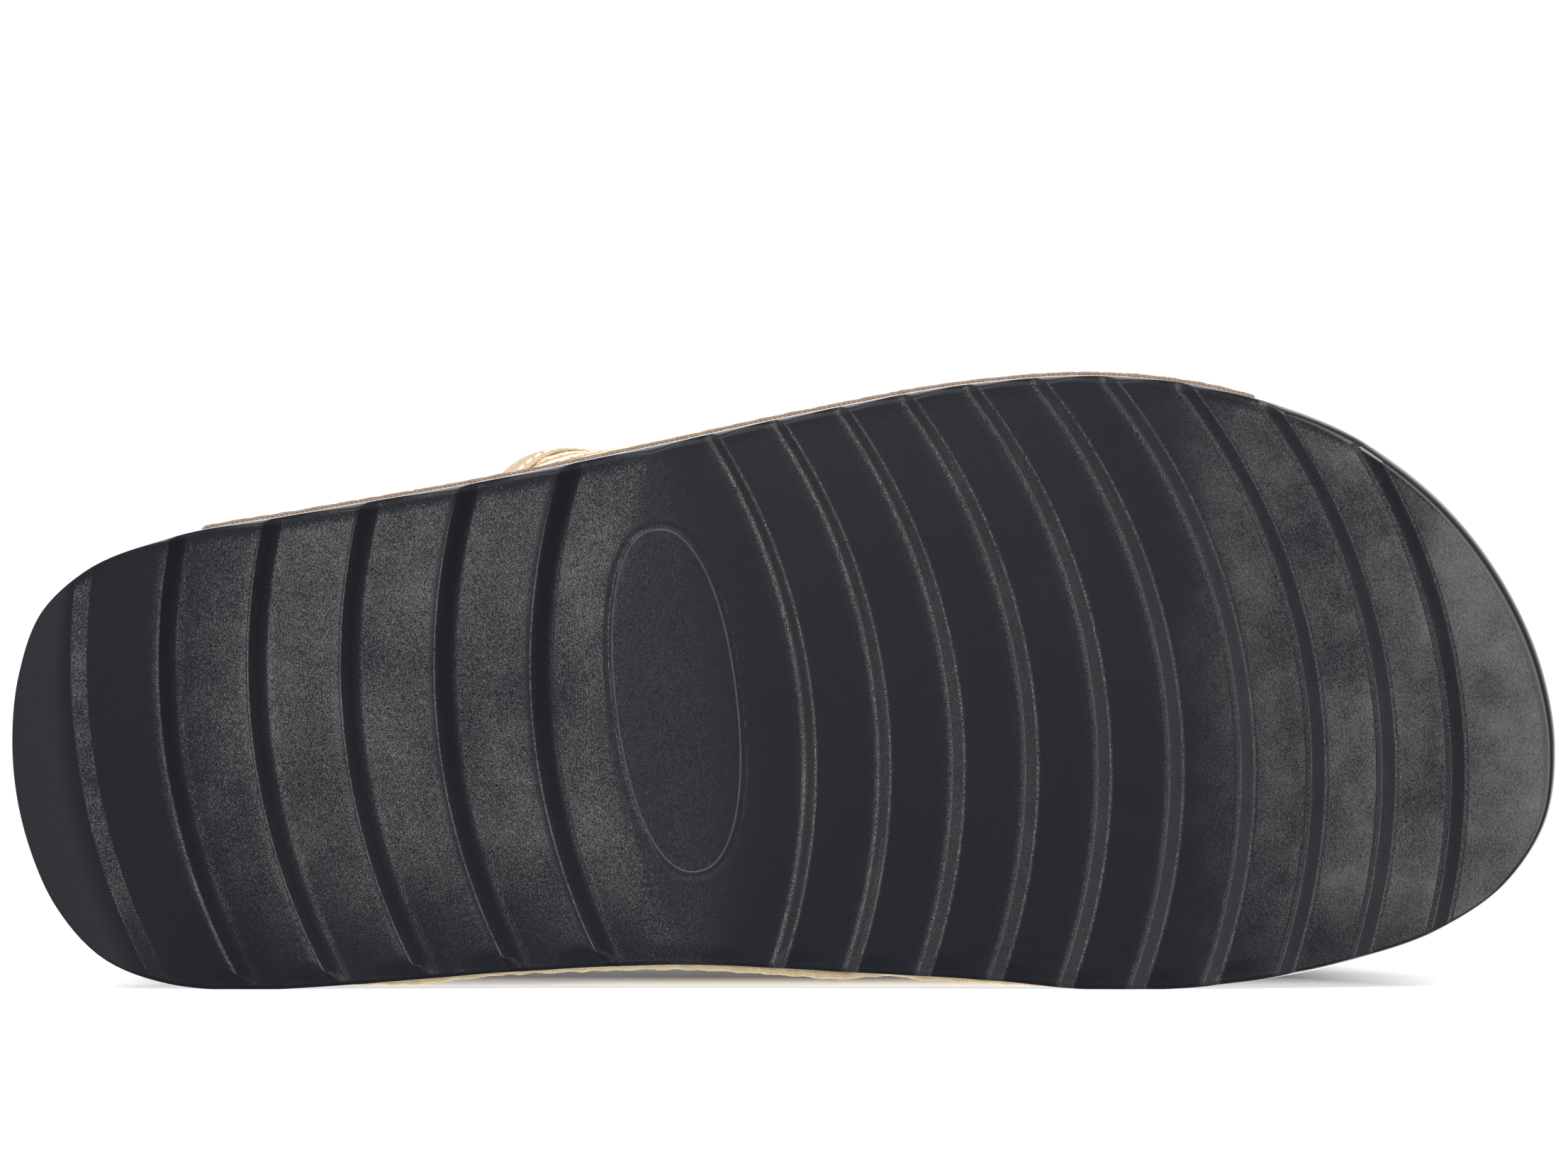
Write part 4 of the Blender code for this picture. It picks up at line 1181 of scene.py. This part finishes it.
def build_outsole(material):
    """Ribbed tread with rounded turns, bevelled edge, side wall, rims and seat."""
    places, apex, shares, index = tread_grid()
    count, columns = places.shape[:2]
    width = np.linalg.norm(places[:, -1] - places[:, 0], axis=1)[:, None]
    from_medial = shares[None, :] * width
    inside = smooth_step(from_medial, *MEDIAL_DROP_WIDTH)
    inside = np.maximum(inside, smooth_step(places[..., 0], *MEDIAL_DROP_END))
    relief = rib_relief(apex)
    relief = relief * inside + np.maximum(relief, MEDIAL_DROP) * (1.0 - inside)
    on_outline = read_curve(CURVE, index)
    steady = smooth_step(on_outline[:, 0], *STEADY_EDGE)
    flare = WALL_FLARE * smooth_step(on_outline[:, 1], *FLARE_ACROSS) * (1.0 - steady)
    narrowed = np.clip(1.0 - grid_loop(relief) / FORE_RIB_DEPTH, 0.0, 1.0) ** 2
    least = flare + LEAST_BEVEL
    offset = -least - (edge_band(index) - least) * (narrowed + (1.0 - narrowed) * steady)
    set_grid_loop(places, outline_at(index, offset))
    height = tread_lift(places[..., 0]) + relief + oval_moat(places)
    rings = wall_rings(index, offset, flare, grid_loop(height))
    points = np.vstack([with_height(places, height).reshape(-1, 3)] + rings)
    bands = edge_bands(count, columns, len(rings), len(index))
    faces = [grid_faces(count, columns)]
    faces += [ring_faces(lower, upper) for lower, upper in zip(bands[:-1], bands[1:])]

    on_wall = np.zeros(len(index) * len(rings))
    wall = np.concatenate([np.zeros(count * columns), on_wall + 1.0])
    for band, shine in zip(bands, BEVEL_SHINE):
        wall[band] = shine + (1.0 - shine) * steady
    worn = tread_wear(apex, places[..., 1])
    worn = worn + BEVEL_WEAR * (1.0 - smooth_step(width - from_medial, *LATERAL_CALM))
    wear = np.concatenate([worn.ravel(), on_wall + BEVEL_WEAR])
    wear[bands[0]] = BEVEL_WEAR
    # The tread carries its painted shade, painted light and painted highlight as marks
    marks = {"wall": wall, "wear": wear, "painted_shading": np.concatenate([tread_painted_shading(apex).ravel(), on_wall]),
             "painted_highlight": np.concatenate([tread_painted_highlight(apex, places[..., 1]).ravel(), on_wall])}
    piece = make_piece("outsole_skin", points, np.vstack(faces), [material], marks)
    close_loop(piece, bands[-1])
    stand_for(piece, "outsole")


def close_loop(piece, loop):
    """Fill the open upper loop of a piece with faces that look up at the foot."""
    shape = bmesh.new()
    shape.from_mesh(piece.data)
    shape.verts.ensure_lookup_table()
    ring = [shape.verts[int(number)] for number in loop]
    edges = [shape.edges.get((first, second)) for first, second in zip(ring, ring[1:] + ring[:1])]
    filled = bmesh.ops.triangle_fill(shape, edges=edges, use_beauty=True, normal=Vector((0.0, 1.0, 0.0)))
    for face in (item for item in filled["geom"] if isinstance(item, bmesh.types.BMFace)):
        if face.normal.y < 0.0:
            face.normal_flip()
        face.smooth = True
    shape.to_mesh(piece.data)
    shape.free()


def midsole_offset(index):
    """Overhang of the wrapped edge between the rims, and its inset inside them."""
    index = np.asarray(index, dtype=float)
    place = read_curve(CURVE, index)
    inside = -RIM_WALL - RIM_DRAFT - GAP
    offsets = {}
    for side, (heel_end, toe_end) in MIDSOLE_ENDS.items():
        half = MIDSOLE_END_LENGTH / 2.0
        shown = (smooth_step(place[..., 0], heel_end - half, heel_end + half)
                 - smooth_step(place[..., 0], toe_end - half, toe_end + half))
        hem = LATERAL_HEM if side == "lateral" else np.interp(place[..., 0], *zip(*MEDIAL_HEM))
        reach = np.minimum(hem, place[..., 1] - MIDSOLE_FLOOR_CLEARANCE)
        offsets[side] = inside + (reach - inside) * shown
    return np.where(on_lateral(index), offsets["lateral"], offsets["medial"])


def sheet_grid(offset, shares, spacing):
    """Straight rows of a sheet under the foot: their places, and the sheet's loop on the outline."""
    arcs = [arc_row(no_bend, along, offset, shares) for along in np.arange(*SHEET_SPAN, spacing)]
    heel = end_row(HEEL_CORNER, "heel", offset, shares, 0.0)
    toe = end_row(TOE_CORNER, "toe", offset, shares, SOLE_LENGTH)
    rows = [heel] + rows_between(heel, arcs[0], SHEET_HEEL_STEPS, offset, shares) + arcs
    rows = rows + rows_between(arcs[-1], toe, SHEET_TOE_STEPS, offset, shares) + [toe]
    return np.stack([row.places for row in rows]), loop_places(rows, shares)


def build_midsole(material):
    """Board wrapped in cloth; the cloth rolls round the edge that shows between the rims."""
    shares = np.linspace(0.0, 1.0, MIDSOLE_COLUMNS)
    places, index = sheet_grid(lambda index: midsole_offset(index) - WRAP_ROOM, shares, MIDSOLE_ROW_STEP)
    base = seat_height(places[..., 0]) + GAP
    offset = midsole_offset(index)
    medial = ~on_lateral(index)
    walk = run_length(outline_at(index, index * 0.0))
    wave = np.where(medial, HEM_WAVE["medial"], HEM_WAVE["lateral"])
    wave = wave * np.sin(walk * 1.3 + 0.8 * np.sin(walk * 0.37))
    flat = places.reshape(-1, 2)
    uv = [flat]
    pale = [np.zeros(len(flat))]
    rings = []
    random = np.random.default_rng(7)
    for out, rise in WRAP_ROLL:
        ragged = np.where(offset > HEM_SHOWN, random.normal(0.0, HEM_RAGGED, len(index)) + wave, 0.0)
        edge = outline_at(index, offset + out + np.minimum(ragged, HEM_RAGGED_MOST))
        edge[:, 1] = np.maximum(edge[:, 1], HEM_FLOOR)
        rings.append(with_height(edge, seat_height(edge[:, 0]) + GAP + MIDSOLE_THICKNESS * rise))
        uv.append(np.stack([walk, np.full(len(index), rise * WRAP_GIRTH)], axis=-1))
        # Painted light on the medial side only: full on the outer rings of the roll, less on the inner ones
        pale.append(np.where(medial, 1.0 if out > HEM_PALE_FOLD else HEM_PALE, 0.0))
    upper_face = with_height(places, base + MIDSOLE_THICKNESS)
    points, faces = closed_sheet(with_height(places, base), rings, upper_face)
    marks = {"pale": np.concatenate(pale + pale[:1])}
    yarns = np.vstack(uv + uv[:1]) / WRAP_YARN
    piece = make_piece("midsole_wrap", points, faces, [material], marks, uv=yarns)
    stand_for(piece, "midsole")


def edge_distance(places, edge):
    """Distance of each grid point from the nearest point of the edge."""
    flat = places.reshape(-1, 2)
    nearest = np.full(len(flat), 1e9)
    for start in range(0, len(edge), 200):
        apart = flat[:, None, :] - edge[None, start:start + 200, :]
        nearest = np.minimum(nearest, np.sqrt((apart ** 2).sum(axis=-1)).min(axis=1))
    return nearest.reshape(places.shape[:-1])


def build_insole(material):
    """Soft footbed sheet: dished, with a sewn channel that runs round inside its edge."""
    shares = np.linspace(0.0, 1.0, INSOLE_COLUMNS)
    inner = lambda index: np.full(np.shape(index), -INSOLE_INSET - INSOLE_ROOM)
    places, index = sheet_grid(inner, shares, INSOLE_ROW_STEP)
    even = np.zeros(len(index))
    edge = outline_at(index, even - INSOLE_INSET)
    away = edge_distance(places, edge)
    base = over_midsole(places[..., 0])
    raised = INSOLE_DISH * (1.0 - smooth_step(away, INSOLE_ROOM, INSOLE_DISH_WIDTH))
    channel = -CHANNEL_DEPTH * near(away, INSOLE_SEAM, CHANNEL_WIDTH)
    pillow = PILLOW_HEIGHT * near(away, INSOLE_SEAM * 0.5, PILLOW_WIDTH)
    upper_face = base + INSOLE_THICKNESS + raised + channel + pillow
    tall = INSOLE_THICKNESS + INSOLE_DISH
    rings = []
    for out, rise in INSOLE_ROLL:
        around = outline_at(index, even - INSOLE_INSET + out)
        rings.append(with_height(around, over_midsole(edge[:, 0]) + tall * rise))
    points, faces = closed_sheet(with_height(places, base), rings, with_height(places, upper_face))
    piece = make_piece("insole_cover", points, faces, [material])
    stand_for(piece, "insole")


def insole_seam_path():
    """Points of the insole's sewn line, on the bottom of its channel."""
    index = np.arange(0, OUTLINE_SAMPLES, 8)
    around = outline_at(index, np.full(len(index), -INSOLE_INSET - INSOLE_SEAM))
    raised = INSOLE_DISH * (1.0 - smooth_step(INSOLE_SEAM, INSOLE_ROOM, INSOLE_DISH_WIDTH))
    rise = INSOLE_THICKNESS + raised - INSOLE_SEAM_DEPTH
    return with_height(around, over_midsole(around[:, 0]) + rise)


# Strap


def side_across(along, side):
    """Across place of one side of the outline at an along place."""
    points = CURVE[SIDE_INDEX[side] % OUTLINE_SAMPLES]
    return np.interp(along, points[:, 0], points[:, 1])


def strap_edge(edge, share):
    """Along place of the strap's front or rear edge, from the sides up to the crown."""
    up = 1.0 - np.abs(2.0 * share - 1.0)
    side = np.where(share < 0.5, edge.medial, edge.lateral)
    return side + (edge.crown - side) * np.sin(up * math.pi / 2.0) ** STRAP_EDGE_POWER


def strap_face(front_to_rear, share):
    """Points on the strap's outer face; share runs from the medial foot over the crown to the other foot."""
    front = strap_edge(STRAP_FRONT, share)
    along = front + (strap_edge(STRAP_REAR, share) - front) * front_to_rear
    value = {name: table_value(STRAP_SECTIONS, name, along) for name in StrapSection._fields[1:]}
    medial = side_across(along, "medial") + STRAP_INSET
    lateral = side_across(along, "lateral") - STRAP_INSET
    on_medial = share < 0.5
    foot = np.where(on_medial, medial, lateral)
    medial_widest = np.maximum(0.0, medial - value["medial_bulge"])
    widest = np.where(on_medial, medial_widest, lateral + value["lateral_bulge"])
    crown = medial + (lateral - medial) * value["crown_place"]
    up = 1.0 - np.abs(2.0 * share - 1.0)
    low_turn = np.clip(up / STRAP_SIDE_SHARE, 0.0, 1.0)
    high_turn = np.clip((up - STRAP_SIDE_SHARE) / (1.0 - STRAP_SIDE_SHARE), 0.0, 1.0) * math.pi / 2.0
    power = 2.0 / STRAP_SQUARENESS
    low_across = foot + (widest - foot) * np.sin(low_turn * math.pi / 2.0)
    high_across = crown + (widest - crown) * np.maximum(0.0, np.cos(high_turn)) ** power
    across = np.where(up < STRAP_SIDE_SHARE, low_across, high_across)
    rise = (value["crown_height"] - value["widest_height"]) * np.sin(high_turn) ** power
    height = over_midsole(along) + value["widest_height"] * low_turn + rise
    return np.stack([along, height, across], axis=-1)


def strap_shares():
    """Shares round the band, evenly spaced by length along its middle row."""
    fine = np.linspace(0.0, 1.0, 2001)
    length = run_length(strap_face(np.full_like(fine, 0.5), fine))
    return np.interp(np.linspace(0.0, length[-1], STRAP_CELLS + 1), length, fine)


def surface_normals(points):
    """Outward unit normals of a strap grid kept as rows from front to rear."""
    along_rows = np.gradient(points, axis=0)
    along_cells = np.gradient(points, axis=1)
    normal = np.cross(along_rows, along_cells)
    return normal / np.linalg.norm(normal, axis=-1, keepdims=True)


def grid_lengths(points):
    """Length from the front edge, and round the band from its medial foot, at each point of a strap grid."""
    row_step = np.linalg.norm(np.diff(points, axis=0), axis=-1)
    cell_step = np.linalg.norm(np.diff(points, axis=1), axis=-1)
    from_front = np.vstack([np.zeros((1, points.shape[1])), np.cumsum(row_step, axis=0)])
    round_band = np.hstack([np.zeros((points.shape[0], 1)), np.cumsum(cell_step, axis=1)])
    return from_front, round_band


def weave_height(first, second):
    """Weave with a diagonal rib, on yarn counts: from 0 in the gaps to 1 on the crowns."""
    sides = []
    for own, other, sign in ((first, second, 1.0), (second, first, -1.0)):
        crown = np.maximum(0.0, np.sin(np.pi * (own - np.floor(own)))) ** YARN_ROUNDNESS
        wave = sign * np.cos(np.pi * (other + np.floor(own)))
        sides.append(crown * (0.5 + 0.5 * wave))
    return np.maximum(sides[0], sides[1])


def build_strap(cloth, lining):
    """Woven band with real yarn relief outside and a plain lining inside; gives its smooth face too."""
    from_edge = np.linspace(0.0, 1.0, STRAP_ROWS + 1)
    front_to_rear, share = np.meshgrid(from_edge, strap_shares(), indexing="ij")
    face = strap_face(front_to_rear, share)
    normal = surface_normals(face)
    from_front, round_band = grid_lengths(face)
    crown = STRAP_CELLS // 2
    from_crown = round_band - round_band[:, crown:crown + 1]
    yarns = np.stack([from_crown, from_front], axis=-1) / YARN_PITCH + np.array(YARN_START)
    relief = weave_height(yarns[..., 0], yarns[..., 1])
    edge_room = np.minimum(from_front, from_front[-1:] - from_front)
    calm = smooth_step(edge_room, *CALM_EDGE) * smooth_step(face[..., 2], *CALM_FLOOR)
    outer = face + normal * (YARN_RELIEF * (relief - YARN_LEVEL) * calm)[..., None]
    outer[..., 2] = np.maximum(outer[..., 2], 0.0)
    inner = face - normal * STRAP_WALL
    count, columns = outer.shape[:2]
    points = np.vstack([outer.reshape(-1, 3), inner.reshape(-1, 3)])
    faces = [grid_faces(count, columns), grid_faces(count, columns, count * columns, True)]
    loop = grid_loop(np.arange(count * columns).reshape(count, columns))
    faces.append(ring_faces(loop + count * columns, loop))
    kinds = np.concatenate([np.zeros(len(faces[0])), np.ones(len(faces[1]) + len(faces[2]))])
    uv = np.vstack([yarns.reshape(-1, 2)] * 2)
    piece = make_piece("strap_weave", points, np.vstack(faces), [cloth, lining], face_material=kinds, uv=uv)
    stand_for(piece, "strap")
    return piece, face, normal


def edge_frames(face, normal, rear):
    """Edge points of the band with the way into the band and the way out of its face."""
    last, inner = (-1, -1 - BINDING_REACH) if rear else (0, BINDING_REACH)
    inward = face[inner] - face[last]
    return face[last], inward / np.linalg.norm(inward, axis=-1, keepdims=True), normal[last]


def build_binding(material, face, normal):
    """Tape folded over the front and rear edges of the band."""
    points = []
    faces = []
    uv = []
    first = 0
    for rear in (False, True):
        edge, inward, outward = edge_frames(face, normal, rear)
        ring = np.stack([edge + inward * into + outward * out for into, out in BINDING_PROFILE], axis=1)
        ring[..., 2] = np.maximum(ring[..., 2], 0.0)
        count, sides = ring.shape[:2]
        ids = first + np.arange(count * sides).reshape(count, sides)
        points.append(ring.reshape(-1, 3))
        around = np.roll(ids, -1, axis=1)
        quads = np.stack([ids[:-1], ids[1:], around[1:], around[:-1]], axis=-1).reshape(-1, 4)
        ends = [list(ids[0]), list(ids[-1][::-1])]
        if rear:
            quads = quads[:, ::-1]
            ends = [end[::-1] for end in ends]
        faces.extend(quads.tolist())
        faces.extend(ends)
        yarns = np.broadcast_arrays(run_length(edge)[:, None] / BINDING_YARN, np.arange(sides) * BINDING_TURN)
        uv.append(np.stack(yarns, axis=-1).reshape(-1, 2))
        first += count * sides
    piece = make_piece("strap_binding", np.vstack(points), faces, [material], uv=np.vstack(uv))
    go_with(piece)
    return piece


# Rows of thread


def thread_tree():
    """Geometry tree that lays stitches along a line of points, and the identifiers of its inputs."""
    tree = bpy.data.node_groups.new("thread_row", "GeometryNodeTree")
    tree.interface.new_socket(name="Geometry", in_out="INPUT", socket_type="NodeSocketGeometry")
    sockets = {}
    for label, kind in (("Pitch", "Float"), ("Length", "Float"), ("Thickness", "Float"),
                        ("Thread", "Material")):
        socket = tree.interface.new_socket(name=label, in_out="INPUT", socket_type="NodeSocket" + kind)
        sockets[label] = socket.identifier
    tree.interface.new_socket(name="Geometry", in_out="OUTPUT", socket_type="NodeSocketGeometry")
    nodes = {name: tree.nodes.new(kind) for name, kind in (
        ("given", "NodeGroupInput"), ("result", "NodeGroupOutput"), ("curve", "GeometryNodeMeshToCurve"),
        ("points", "GeometryNodeCurveToPoints"), ("ball", "GeometryNodeMeshUVSphere"),
        ("size", "ShaderNodeCombineXYZ"), ("shape", "GeometryNodeTransform"),
        ("turn", "FunctionNodeAlignRotationToVector"), ("lay", "GeometryNodeInstanceOnPoints"),
        ("solid", "GeometryNodeRealizeInstances"), ("smooth", "GeometryNodeSetShadeSmooth"),
        ("thread", "GeometryNodeSetMaterial"))}
    nodes["points"].mode = "LENGTH"
    nodes["turn"].axis = "X"
    for label, value in (("Segments", 7), ("Rings", 5), ("Radius", 0.5)):
        nodes["ball"].inputs[label].default_value = value
    for source, output, target, place in (
            ("given", "Geometry", "curve", "Mesh"), ("curve", "Curve", "points", "Curve"),
            ("given", "Pitch", "points", "Length"), ("given", "Length", "size", "X"),
            ("given", "Thickness", "size", "Y"), ("given", "Thickness", "size", "Z"),
            ("ball", "Mesh", "shape", "Geometry"), ("size", "Vector", "shape", "Scale"),
            ("points", "Tangent", "turn", "Vector"), ("points", "Points", "lay", "Points"),
            ("shape", "Geometry", "lay", "Instance"), ("turn", "Rotation", "lay", "Rotation"),
            ("lay", "Instances", "solid", "Geometry"), ("solid", "Geometry", "smooth", "Geometry"),
            ("smooth", "Geometry", "thread", "Geometry"), ("given", "Thread", "thread", "Material"),
            ("thread", "Geometry", "result", "Geometry")):
        tree.links.new(nodes[source].outputs[output], nodes[target].inputs[place])
    return tree, sockets


def lay_thread(name, paths, closed, tree, sockets, material, stitch):
    """Stitches along one or more lines of points, turned into a plain mesh piece."""
    edges = []
    first = 0
    for path in paths:
        ids = list(range(first, first + len(path)))
        edges += list(zip(ids[:-1], ids[1:]))
        if closed:
            edges.append((ids[-1], ids[0]))
        first += len(path)
    line = bpy.data.meshes.new(name + "_line")
    line.from_pydata(to_scene(np.vstack(paths)).tolist(), edges, [])
    guide = bpy.data.objects.new(name + "_line", line)
    bpy.context.scene.collection.objects.link(guide)
    modifier = guide.modifiers.new("thread", "NODES")
    modifier.node_group = tree
    for label, size in zip(("Pitch", "Length", "Thickness"), stitch):
        modifier[sockets[label]] = size * MILLIMETRE
    modifier[sockets["Thread"]] = material
    bpy.context.view_layer.update()
    seen = guide.evaluated_get(bpy.context.evaluated_depsgraph_get())
    mesh = bpy.data.meshes.new_from_object(seen)
    mesh.name = name
    guide.modifiers.remove(modifier)
    bpy.data.objects.remove(guide, do_unlink=True)
    piece = bpy.data.objects.new(name, mesh)
    bpy.context.scene.collection.objects.link(piece)
    go_with(piece)
    return piece


def binding_seams(face, normal):
    """Sewn lines on the outside of the two bindings."""
    lines = []
    for rear in (False, True):
        edge, inward, outward = edge_frames(face, normal, rear)
        line = edge + inward * SEAM_INTO + outward * SEAM_OUT
        line[:, 2] = np.maximum(line[:, 2], SEAM_FLOOR)
        lines.append(line[SEAM_CUT:-SEAM_CUT])
    return lines


# Stage


def add_softbox(box):
    """Rectangular soft light that looks at a point, and that the foam mirrors or not."""
    light = bpy.data.lights.new(box.name, "AREA")
    light.shape = "RECTANGLE"
    light.size = box.width
    light.size_y = box.tall
    light.energy = box.power
    light.color = box.colour
    lamp = bpy.data.objects.new(box.name, light)
    lamp.location = box.place
    lamp.rotation_euler = (Vector(box.aim) - Vector(box.place)).to_track_quat("-Z", "Y").to_euler()
    lamp.visible_camera = False
    lamp.visible_glossy = box.mirrored
    bpy.context.scene.collection.objects.link(lamp)


def add_floor():
    """Pale floor under the slipper, which the foam doesn't mirror."""
    (left, right), (front, back) = FLOOR_SIDES
    corners = [(left, front, 0.0), (right, front, 0.0), (right, back, 0.0), (left, back, 0.0)]
    mesh = bpy.data.meshes.new("floor")
    mesh.from_pydata(corners, [], [(0, 1, 2, 3)])
    mesh.materials.append(floor_material())
    floor = bpy.data.objects.new("floor", mesh)
    floor.visible_glossy = False
    bpy.context.scene.collection.objects.link(floor)


def add_world():
    """White backdrop for the camera, a soft fill for matt surfaces, and a room for shiny ones to mirror."""
    world = bpy.data.worlds.new("studio")
    bpy.context.scene.world = world
    world.use_nodes = True
    tree = world.node_tree
    tree.nodes.clear()
    parts = split(tree, tree.nodes.new("ShaderNodeTexCoord").outputs["Generated"])
    turned = math_node(tree, "ADD", parts["Y"], math_node(tree, "MULTIPLY", parts["X"], BEHIND_TURN))
    lifted = math_node(tree, "ADD", parts["X"], math_node(tree, "MULTIPLY", parts["Z"], AHEAD_LIFT))
    mirrored = highest(
        tree, map_range(tree, turned, *MIRRORED_BEHIND), map_range(tree, parts["X"], *MIRRORED_ASIDE),
        map_range(tree, parts["Z"], *MIRRORED_BELOW), map_range(tree, lifted, *MIRRORED_AHEAD))
    ray = tree.nodes.new("ShaderNodeLightPath").outputs
    glossy = ray["Is Glossy Ray"]
    fill = map_range(tree, parts["Y"], *SOFT_FILL)
    lit = tree.nodes.new("ShaderNodeBackground")
    tree.links.new(weigh(tree, mirrored, glossy, fill, rest_of(tree, glossy)), lit.inputs["Strength"])
    plain = tree.nodes.new("ShaderNodeBackground")
    plain.inputs["Strength"].default_value = BACKDROP
    plain.inputs["Color"].default_value = WHITE + (1.0,)
    both = tree.nodes.new("ShaderNodeMixShader")
    tree.links.new(ray["Is Camera Ray"], both.inputs[0])
    tree.links.new(lit.outputs[0], both.inputs[1])
    tree.links.new(plain.outputs[0], both.inputs[2])
    out = tree.nodes.new("ShaderNodeOutputWorld")
    tree.links.new(both.outputs[0], out.inputs["Surface"])


def add_camera():
    """Camera square to the tread, level with the middle of the picture."""
    data = bpy.data.cameras.new("camera")
    data.sensor_width = SENSOR_WIDTH
    data.lens = SENSOR_WIDTH * (CAMERA_DISTANCE + FRAME_DEPTH) / FRAME_WIDTH
    data.clip_start = 0.05
    data.clip_end = 30.0
    camera = bpy.data.objects.new("camera", data)
    camera.location = (FRAME_MIDDLE[0], TREAD_PLANE * MILLIMETRE - CAMERA_DISTANCE, FRAME_MIDDLE[1])
    camera.rotation_euler = (math.pi / 2.0, 0.0, 0.0)
    bpy.context.scene.collection.objects.link(camera)
    bpy.context.scene.camera = camera


def build():
    """Dress the slipper, then light it and aim the camera."""
    add_camera()
    fuzz = fibre_group()
    weave = weave_group()
    cloths = {name: woven_material(name, fuzz, weave) for name in WOVEN}
    cloths.update({name: plain_material(name, fuzz) for name in PLAIN})
    thread = cloths["pale_thread"]
    build_outsole(foam_material())
    build_oval_bead(bead_material())
    build_midsole(cloths["brown_wrap"])
    build_insole(cloths["tan_footbed"])
    band, face, normal = build_strap(cloths["cream_weave"], cloths["beige_lining"])
    binding = build_binding(cloths["tan_tape"], face, normal)
    tree, sockets = thread_tree()
    seams = binding_seams(face, normal)
    sewn = lay_thread("binding_stitches", seams, False, tree, sockets, thread, BINDING_STITCH)
    lay_thread("insole_stitches", [insole_seam_path()], True, tree, sockets, thread, INSOLE_STITCH)
    add_floor()
    add_world()
    for box in SOFTBOXES:
        add_softbox(box)
    bpy.context.scene.view_settings.view_transform = "Standard"


build()
